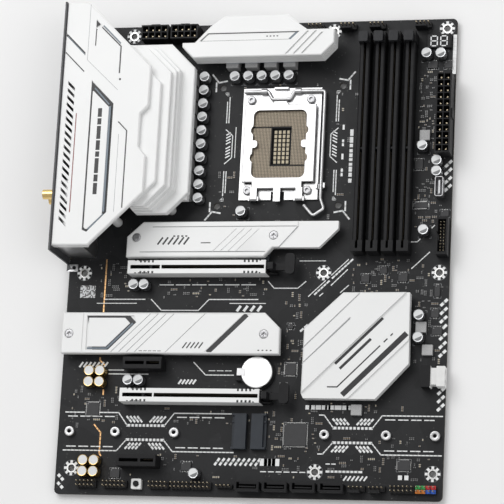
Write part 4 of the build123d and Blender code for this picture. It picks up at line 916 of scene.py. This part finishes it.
def surface_parts(blocked):
    """Groups of resistors and capacitors in the crowded parts of the board."""
    groups = {"tan": [], "black": [], "cream": []}
    for x0, y0, x1, y1, tries in busy_places():
        for _ in range(tries):
            x, y = random.uniform(x0, x1), random.uniform(y0, y1)
            kind = random.choice(("tan", "tan", "black", "black", "black", "cream"))
            upright = random.random() < 0.5
            count = random.choice((1, 1, 2, 3, 4))
            step = (0, 1.15) if upright else (1.15, 0)
            spots = [(x + i * step[0], y + i * step[1]) for i in range(count)]
            on_board = all(board_low.x + 2 < px < board_high.x - 3 for px, py in spots)
            if not on_board or any(inside(px, py, blocked) for px, py in spots):
                continue
            turn = math.pi / 2 if upright else 0
            groups[kind] += [(px, py, math.pi / 2 - turn) for px, py in spots]
            last = spots[-1]
            blocked.append((x - 1.5, last[0] + 1.5, y - 1.5, last[1] + 1.5))
    bodies = {"tan": (ceramic_tan, 0.5), "black": (resistor_black, 0.35), "cream": (ceramic_cream, 0.5)}
    for kind, (finish, height) in bodies.items():
        template = chip_part(1.3, 0.65, height, finish, dull_tin)
        places = [spot(x, y, deck, turn) for x, y, turn in groups[kind]]
        belongs(stamp(f"surface_parts_{kind}", template, places))


def chip_legs():
    """Gull legs along two sides of the small chips and four of the large ones."""
    leg = brick((-0.14, 0, 0), (0.14, 0.8, 0.14), tin)
    round_off(leg, 0.04, 1, 40)
    places = []
    for a, b in solids("ic_packages"):
        width, depth = b.x - a.x, b.y - a.y
        pitch = 0.65 if max(width, depth) > 7 else 1.0
        count = max(2, int((width - 0.8) / pitch))
        start = (a.x + b.x) / 2 - (count - 1) * pitch / 2
        for i in range(count):
            places.append(spot(start + i * pitch, b.y - 0.05, deck))
            places.append(spot(start + i * pitch, a.y + 0.05, deck, math.pi))
        if width > 6.5:
            rows = max(2, int((depth - 0.8) / pitch))
            start = (a.y + b.y) / 2 - (rows - 1) * pitch / 2
            for i in range(rows):
                places.append(spot(b.x - 0.05, start + i * pitch, deck, -math.pi / 2))
                places.append(spot(a.x + 0.05, start + i * pitch, deck, math.pi / 2))
    return belongs(stamp("chip_legs", leg, places))


def chip_bodies():
    """Epoxy bodies with a bevelled top and a round index dimple."""
    pieces = []
    for a, b in solids("ic_packages"):
        body = brick((a.x, a.y, a.z + 0.08), (b.x, b.y, b.z), chip_black)
        sink_face(body, faces_up, 0.25, 0.03)
        round_off(body, 0.12, 2, 40)
        dimple = drum(a.x + 0.9, b.y - 0.9, b.z - 0.05, b.z + 0.01, 0.28, grey_print_and_groove_shade, 16)
        pieces += [body, round_off(dimple, 0.02, 1, 50)]
    return belongs(join("chip_bodies", pieces), stands_for=("ic_packages",))


# ---- capacitors and chokes
def can_template(radius, base, top, side_finish, printed):
    """A can with a crimped waist and a rolled rim; part of a printed one's top is mid-grey."""
    waist, squeeze = base + 1.15, 0.92
    can = drum(0, 0, base, top, radius, side_finish, 28)
    edit(can)
    for level in (waist - 0.35, waist, waist + 0.35):
        bpy.ops.mesh.select_all(action="SELECT")
        bpy.ops.mesh.bisect(plane_co=(0, 0, level * MM), plane_no=(0, 0, 1))
    deselect()
    edit(can)
    bpy.ops.mesh.select_mode(type="VERT")
    bpy.ops.mesh.select_all(action="DESELECT")
    bpy.ops.object.mode_set(mode="OBJECT")
    for vertex in can.data.vertices:
        vertex.select = abs(vertex.co.z / MM - waist) < 0.05
    bpy.ops.object.mode_set(mode="EDIT")
    bpy.ops.transform.resize(value=(squeeze, squeeze, 1))
    deselect()
    rim, dish = 0.32, 0.16
    sink_face(can, faces_up, rim, dish)
    repaint(can, can_top, lambda c, n: n.z > 0.9 and c.xy.length < radius - rim * 1.5)
    round_off(can, 0.12, 2, 40)
    if not printed:
        return can
    half = drum(0, 0, top - dish - 0.01, top - dish + 0.03, radius - rim - 0.25, can_print, 28)
    slice_off(half, (0, -0.55, 0), (-0.42, 0.9, 0))
    return join("can", [can, half])


def cap_foot(radius, height):
    """Square base with two cut corners and a terminal at one side."""
    half = radius + 0.15
    foot = brick((-half, -half, 0), (half, half, height), black_plastic)
    slice_off(foot, (half - 1.1, half, 0), (1, 1, 0))
    slice_off(foot, (half - 1.1, -half, 0), (1, -1, 0))
    round_off(foot, 0.15, 1, 40)
    tab = brick((-half, -0.4, 0), (-half + 0.5, 0.4, 0.25), tin)
    return join("cap_foot", [foot, round_off(tab, 0.05, 1, 40)])


def make_cans(node, name, finish, printed):
    boxes = solids(node)
    a, b = boxes[0]
    radius = (b.x - a.x) / 2 - 0.15
    foot_h = 1.2
    can = can_template(radius, foot_h, b.z - a.z, finish, printed)
    whole = join("can", [can, cap_foot(radius, foot_h)])
    places = [over(a, b, a.z) for a, b in boxes]
    return belongs(stamp(name, whole, places), stands_for=(node,))


def make_chokes():
    """Two-part ferrite blocks with a parting line and side terminals."""
    pieces = []
    for a, b in solids("power_inductors"):
        body = brick(a, b, ferrite_grey)
        edit(body)
        level = (a.z + (b.z - a.z) * 0.3) * MM
        bpy.ops.mesh.bisect(plane_co=(0, 0, level), plane_no=(0, 0, 1))
        deselect()
        sink_face(body, faces_up, 0.7, 0.12)
        round_off(body, 0.35, 3, 40)
        pieces.append(body)
        for side in (a.x + 0.02, b.x - 0.52):
            y = (a.y + b.y) / 2
            tab = brick((side, y - 1.4, a.z), (side + 0.5, y + 1.4, a.z + 1.6), tin)
            pieces.append(round_off(tab, 0.1, 1, 40))
    return belongs(join("chokes", pieces), stands_for=("power_inductors",))


# ---- decoration of the white pieces
def set_badge(name, recess, badge, floor, depth):
    """A raised white badge on a dark floor that shows all round it; the dark floor is painted shade in the
    recess.
    """
    belongs(panel(name + "_floor", recess, floor - 0.02, floor + 0.05, black_print_and_groove_shade))
    plate = panel(name, badge, floor + 0.05, floor + depth, white_metal)
    belongs(round_off(plate, 0.15, 2, 30))


def cover_dressing():
    """Badge, bevels, seams and stripes on the rear cover; the bevels, and the floors of the grooves, slits
    and badge recess, are painted shade.
    """
    top = high("io_cover").z
    floor = top - 1.1
    recess = [(8.75, 18.75), (11.75, 17.35), (23.85, 29.85), (23.85, 100.1), (8.75, 115.4)]
    badge = [(9.7, 20.2), (11.9, 19.2), (21.0, 29.6), (21.0, 98.0), (12.6, 107.6), (9.7, 108.6)]
    set_badge("cover_badge", recess, badge, floor, 0.9)
    # slate strokes beside the badge: painted shade of its bevels
    ink_white(
        "cover_badge_painted_bevel_shade", painted_bevel_shade, floor + 0.05, 0.7, (1.4, (21.7, 30.6), (21.7, 98.2)),
        (0.9, (20.9, 99.8), (11.2, 110.4)), (1.1, (12.6, 18.9), (21.4, 28.6)),
    )
    # black floors of the cover grooves: painted shade
    ink_white(
        "cover_groove_painted_shade", black_print_and_groove_shade, top - 0.79, 0.06, (0.7, (9.6, 149.6), (9.6, 139.0)),
        (0.7, (13.0, 150.9), (26.4, 137.7), (26.4, 120.4)), (0.55, (27.9, 88.1), (33.6, 82.3), (33.6, 32.8)),
    )
    # slate stroke: painted shade of the upper bevel
    ink_white("cover_upper_painted_bevel_shade", painted_bevel_shade, top - 0.03, 0.06, (0.9, (14.2, 151.6), (26.0, 139.8)))
    triangle = panel(
        "cover_triangle", [(9.2, 151.2), (12.8, 151.9), (9.2, 156.0)], top - 0.79, top - 0.05, black_print_and_groove_shade
    )
    belongs(triangle)
    # black floors of the slits: painted shade
    ink_white(
        "cover_slit_painted_shade", black_print_and_groove_shade, top - 0.99, 0.06,
        (1.5, (-9.8, 146.2), (2.8, 133.5)), (0.7, (-9.8, 134.6), (2.8, 121.9)),
    )
    # slate stroke: painted shade of the slit's bevel
    ink_white("cover_slit_painted_bevel_shade", painted_bevel_shade, top - 0.95, 0.7, (0.5, (-9.3, 145.2), (2.9, 132.9)))
    bars = []
    y = 42.0
    for length in (6.0, 3.2, 8.4, 2.2, 5.0, 7.2, 2.8, 4.4):
        bars += line([(15.4, y), (15.4, y + length)], 2.6)
        y += length + 2.2
    ink("cover_generic_bars", black_print_and_groove_shade, bars, floor + 0.89, 0.05)
    dot = drum(0, 0, 0, 0.06, 0.7, black_print_and_groove_shade, 20)
    belongs(stamp("cover_dot", dot, [spot(27.1, 116, top - 0.03)]))
    ink_white("cover_red_line", accent_red, top - 0.03, 0.05, (0.6, (0, 30), (0, 94)))
    ink_white(
        "cover_seams", grey_print_and_groove_shade, top - 0.03, 0.05, (0.25, (4.8, 129), (4.8, 166)),
        (0.25, (5, 129), (26, 109)), (0.25, (28.6, 30), (28.6, 80)),
    )


def heatsink_dressing():
    """Painted shade on bevels and on the floors of grooves and folds, a badge and generic marks on the
    storage, power and chipset heatsinks.
    """
    label = high("vrm_heatsink_top").z - 0.8
    ink_white(
        "top_heatsink_label_edge", black_print_and_groove_shade, label - 0.01, 0.06,
        (0.45, (73.4, 145.7), (78.2, 150.5), (136.6, 150.5)), (0.3, (73.6, 145.7), (131.6, 145.7)),
    )
    ink_white("top_heatsink_shade", painted_bevel_shade, label - 0.01, 0.1, (1.3, (131.0, 146.0), (135.4, 150.2)))
    dots = [((116 + i * 2.2, 148.1), (116.7 + i * 2.2, 148.1), 0.7) for i in range(4)]
    ink("top_heatsink_dots", black_print_and_groove_shade, dots, label - 0.01, 0.05)
    cover = high("m2_heatsink_upper").z
    upper = hatch(50, 16.2, 6, 3.4, 4.2, 1.1) + line([(78, 17.0), (84, 17.0)], 0.6)
    upper += [((60 + i * 2.6, 21.4), (60.9 + i * 2.6, 21.4), 0.9) for i in range(4)]
    ink("upper_cover_stripes", black_print_and_groove_shade, upper, cover - 0.02, 0.05)
    # grey floors of the grooves: painted shade
    ink_white(
        "upper_cover_groove_painted_shade", grey_print_and_groove_shade, cover - 0.49, 0.05,
        (0.4, (38.4, 11.25), (119.2, 11.25)), (0.4, (46, 27.45), (138.6, 27.45)),
    )
    ink_white("upper_cover_shade", painted_bevel_shade, cover - 0.89, 0.06, (0.6, (127.6, 14.4), (139.4, 27.6)))
    recess = [(7.25, -51.35), (21.75, -51.35), (39.1, -33.85), (37.3, -29.65), (7.05, -29.65)]
    badge = [(8.3, -49.4), (20.2, -49.4), (35.2, -34.4), (33.8, -31.0), (8.3, -31.0)]
    set_badge("lower_cover_badge", recess, badge, cover - 0.9, 0.8)
    # slate strokes: painted shade of the lower badge's bevels
    ink_white(
        "lower_cover_painted_bevel_shade", painted_bevel_shade, cover - 0.86, 0.6,
        (1.1, (21.0, -50.2), (36.8, -34.6)), (1.0, (8.3, -50.4), (20.6, -50.4)),
    )
    ink_white("lower_cover_stripe", black_print_and_groove_shade, cover - 0.6, 0.06, (3.1, (86.5, -52.3), (109.4, -29.4)))
    # grey floors of the grooves: painted shade
    grooves = [(0.4, (x + 0.6, -52.4), (x + 24.4, -28.6)) for x in (23.4, 28.5, 33.6, 38.7, 58.6)]
    ink_white("lower_cover_groove_painted_shade", grey_print_and_groove_shade, cover - 0.49, 0.05, *grooves)
    small = dashes((42, -52), (57, -52), 2.0, 1.0, 0.4)
    small += [((118 + i * 2.6, -51.3), (118.7 + i * 2.6, -51.3), 0.7) for i in range(4)]
    small += hatch(70, -50, 5, 2.6, 3.4, 0.8)
    ink("lower_cover_marks", black_print_and_groove_shade, small, cover - 0.02, 0.05)
    chip = high("chipset_heatsink").z
    ink_white("chipset_sink_stripe", black_print_and_groove_shade, chip - 1.51, 0.06, (3.4, (172.4, -77.9), (209.6, -40.7)))
    ink_white(
        "chipset_sink_thin_line", black_print_and_groove_shade, chip - 1.51, 0.06,
        (0.8, (162.5, -73.6), (168.5, -73.6), (194, -48)), (0.8, (196.4, -45.6), (198.4, -43.6)),
        (0.8, (200.4, -41.6), (201.6, -40.4)),
    )
    bars = []
    for offset, reach in ((0, 22), (3.0, 28), (6.0, 18)):
        bars += line([(164 + offset, -56 - offset), (164 + offset + reach, -56 - offset + reach)], 1.7)
    ink("chipset_sink_bars", black_print_and_groove_shade, bars, chip - 1.51, 0.06)
    # grey floors of the folds: painted shade
    ink_white(
        "chipset_sink_fold_painted_shade", grey_print_and_groove_shade, chip - 0.69, 0.05,
        (0.6, (145.9, -50.6), (180.5, -16.0)), (0.5, (146.2, -60.0), (174.8, -31.4)),
    )


# ---- small things
def armour_teeth():
    """Dark notches along both edges of the slot jackets, and a white bridge over each key."""
    teeth, bridges = [], []
    for node in ("pcie_armor_1", "pcie_armor_2"):
        a, b = low(node), high(node)
        for y in (a.y + 0.75, b.y - 0.75):
            for start in (a.x + 8.5, b.x - 13.5):
                teeth += [((start + i * 2.6, y - 0.45), (start + i * 2.6, y + 0.45), 1.2) for i in range(4)]
        key = a.x + 21.5
        middle_y = (a.y + b.y) / 2
        bridges += line([(key, middle_y - 1.0), (key, middle_y + 1.0)], 1.0)
    top = high("pcie_armor_1").z
    ink("slot_jacket_teeth", black_print_and_groove_shade, teeth, top - 0.02, 0.05)
    ink("slot_jacket_bridges", white_metal, bridges, top - 0.3, 0.2)


def display_digits():
    """Two seven-segment figures on the status display."""
    a, b = solids("digit_display")[0]
    z = b.z
    marks = []
    for centre in (a.x + (b.x - a.x) * 0.3, a.x + (b.x - a.x) * 0.7):
        mid = (a.y + b.y) / 2
        w, h = 2.0, 3.2
        for y in (mid - h, mid, mid + h):
            marks.append(((centre - w * 0.6, y), (centre + w * 0.6, y), 0.7))
        for sx in (-1, 1):
            for y0, y1 in ((mid - h + 0.5, mid - 0.5), (mid + 0.5, mid + h - 0.5)):
                marks.append(((centre + sx * w, y0), (centre + sx * w, y1), 0.7))
    ink("display_digits", digit_pale, marks, z - 0.02, 0.05)


def front_panel_colours():
    """Coloured blocks at the foot of the front-panel pins."""
    bases = [box for box in solids("header_bases") if box[0].x > board_high.x - 22]
    a, b = bases[-1]
    width = (b.x - a.x) / 4
    rows = (("orange", "orange", "blue", "blue"), ("green", "green", "red", "red"))
    for row, colours in enumerate(rows):
        for column, colour in enumerate(colours):
            y0 = a.y + row * (b.y - a.y) / 2
            corner = (a.x + column * width + 0.1, y0 + 0.1, b.z - 0.02)
            far = (a.x + (column + 1) * width - 0.1, y0 + (b.y - a.y) / 2 - 0.1, b.z + 0.5)
            block_piece = round_off(brick(corner, far, pin_colours[colour]), 0.15, 2, 40)
            block_piece.name = f"panel_pin_base_{row}_{column}"
            belongs(block_piece)


def code_sticker():
    label = brick((-2.0, -16.0, deck), (8.0, -8.0, deck + 0.12), paper_code)
    label.name = "paper_label"
    belongs(round_off(label, 0.05, 1, 40))


def cell_marks():
    """A raised plus sign on the coin cell."""
    a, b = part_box("coin_cell")[0] / MM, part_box("coin_cell")[1] / MM
    x, y, z = (a.x + b.x) / 2 + 3.2, (a.y + b.y) / 2, b.z
    plus = line([(x - 1.6, y), (x + 1.6, y)], 0.5) + line([(x, y - 1.6), (x, y + 1.6)], 0.5)
    ink("cell_plus_sign", cell_steel, plus, z, 0.08)


def pin_tips():
    """Square pins with chamfered tips in place of the plain ones."""
    pieces = []
    for node in ("header_pins", "power_pins"):
        boxes = solids(node)
        a, b = boxes[0]
        width = b.x - a.x
        template = brick((-width / 2, -width / 2, 0), (width / 2, width / 2, 1), pin_metal)
        places = []
        for a, b in boxes:
            size = (b.x - a.x) / width
            places.append(over(a, b, a.z, 0, (size, size, b.z - a.z)))
        piece = stamp(node + "_finished", template, places)
        choose(piece, faces_up)
        bpy.ops.mesh.inset(thickness=width * 0.22 * MM, use_individual=True)
        deselect()
        pieces.append(belongs(round_off(piece, 0.08, 1, 40), stands_for=(node,)))
    return pieces


# ---- the CAD nodes' own finishes
softened = {
    "io_cover": (0.3, white_metal),
    "vrm_heatsink_left": (0.25, white_metal),
    "vrm_heatsink_top": (0.2, white_metal),
    "m2_heatsink_upper": (0.15, white_metal),
    "m2_heatsink_lower": (0.15, white_metal),
    "chipset_heatsink": (0.2, white_metal),
    "ilm_frame": (0.12, bright_steel),
    "ilm_load_plate": (0.15, bright_steel),
    "ilm_screws": (0.1, screw_steel),
    "socket_body": (0.12, black_plastic),
    "pcie_armor_1": (0.1, white_metal),
    "pcie_armor_2": (0.1, white_metal),
    "atx_power_housing": (0.15, black_plastic),
    "eps_power_housings": (0.15, black_plastic),
    "pcie_x1_slots": (0.15, black_plastic),
    "m2_connectors": (0.12, m2_grey),
    "sata_connectors": (0.15, black_plastic),
    "io_shield": (0.15, dark_steel),
    "front_usb_header": (0.15, black_plastic),
    "front_usb_c_header": (0.1, screw_steel),
    "header_bases": (0.12, black_plastic),
    "tact_switch_body": (0.1, white_plastic),
    "tact_switch_plunger": (0.1, black_plastic),
    "digit_display": (0.15, display_black),
    "heatsink_screws": (0.1, screw_steel),
    "m2_standoffs": (0.1, bright_steel),
    "battery_holder": (0.15, black_plastic),
    "coin_cell": (0.15, cell_steel),
    "antenna_jacks": (0.12, gold),
    "rear_port_shells": (0.1, bright_steel),
    "side_connectors": (0.15, white_plastic),
    "ilm_load_lever": (0.0, bright_steel),
}
for number in (1, 2, 3, 4):
    softened[f"dimm_slot_{number}"] = (0.12, black_plastic)
    softened[f"dimm_latch_{number}"] = (0.2, latch_grey)
for number in (1, 2):
    softened[f"pcie_x16_slot_{number}"] = (0.12, black_plastic)
    softened[f"pcie_latch_{number}"] = (0.2, black_plastic)
kept = {
    "pcb": board_black, "socket_contacts": bronze_field, "socket_center_capacitors": ceramic_cream,
    "ilm_backplate": dark_steel, "power_stages": chip_black, "thermal_pads": pad_grey,
    "slot_contacts": contact_rows, "chipset_package": chip_black, "battery_clip": bright_steel,
    "rear_port_inserts": black_plastic,
}


def finish_nodes():
    for node, (edge, finish) in softened.items():
        refine(node, edge, finish)
    for node, finish in kept.items():
        for material_slot in frame["nodes"][node].material_slots:
            material_slot.material = finish
    # the side connector is dark inboard and white at its outer end
    white_from = board_high.x - 9.0
    side = bpy.data.objects["side_connectors_finished"]
    repaint(side, black_plastic, lambda c, n: c.x < white_from)
    # the end of the shield that stands over the board is a brighter steel
    shield = bpy.data.objects["io_shield_finished"]
    boss_y = low("io_shield").y + 7.0
    repaint(shield, boss_steel, lambda c, n: c.y < boss_y and c.x > board_low.x)


# ---- stage
def make_camera():
    data = bpy.data.cameras.new("camera")
    data.sensor_width = 36
    data.lens = 169.601
    camera = bpy.data.objects.new("camera", data)
    bpy.context.collection.objects.link(camera)
    right = Vector((0.97289534, 0.05072948, -0.22561289))
    back = Vector((0.23121137, -0.23024998, 0.94526517))
    up = back.cross(right)
    turn = Matrix((right, up, back)).transposed().to_4x4()
    camera.matrix_world = Matrix.Translation(Vector((452.244, -328.787, 1406.680)) * MM) @ turn
    data.clip_end = 20
    bpy.context.scene.camera = camera


def make_stage():
    deselect()
    centre = (cad_low + cad_high) / 2
    bpy.ops.mesh.primitive_plane_add(size=8, location=(centre.x, centre.y, cad_low.z - 0.0005))
    floor = bpy.context.object
    floor.name = "floor"
    ground = Finish("pale_floor", rough=0.7)
    ground.set("Base Color", ground.blend(ground.noise(300), (0.86, 0.86, 0.86), (0.88, 0.88, 0.88)))
    floor.data.materials.append(ground.material)
    for name, place, size, power in (
        ("key", (-0.55, 0.75, 1.35), 1.1, 13), ("fill", (1.15, -0.55, 1.15), 1.5, 6),
        ("rim", (0.1, 1.6, 0.7), 1.0, 4),
    ):
        light = bpy.data.lights.new(name, "AREA")
        light.size = size
        light.energy = power
        lamp = bpy.data.objects.new(name, light)
        bpy.context.collection.objects.link(lamp)
        lamp.location = centre + Vector(place)
        lamp.rotation_euler = (centre - lamp.location).to_track_quat("-Z", "Y").to_euler()
    world = bpy.data.worlds.new("studio")
    world.use_nodes = True
    world.node_tree.nodes["Background"].inputs["Color"].default_value = (1.0, 1.0, 1.0, 1)
    world.node_tree.nodes["Background"].inputs["Strength"].default_value = 0.5
    bpy.context.scene.world = world
    bpy.context.scene.view_settings.view_transform = "Standard"


make_camera()
make_stage()
finish_nodes()
make_cans("polymer_capacitors", "polymer_cans", can_silver, True)
make_cans("audio_capacitors", "audio_cans", can_gold, False)
make_chokes()
chip_legs()
chip_bodies()
pin_tips()
ground_pads()
solder_joints()
printed = make_board_print()
surface_parts(keep_out(0.9) + printed)
cover_dressing()
heatsink_dressing()
armour_teeth()
display_digits()
front_panel_colours()
code_sticker()
cell_marks()
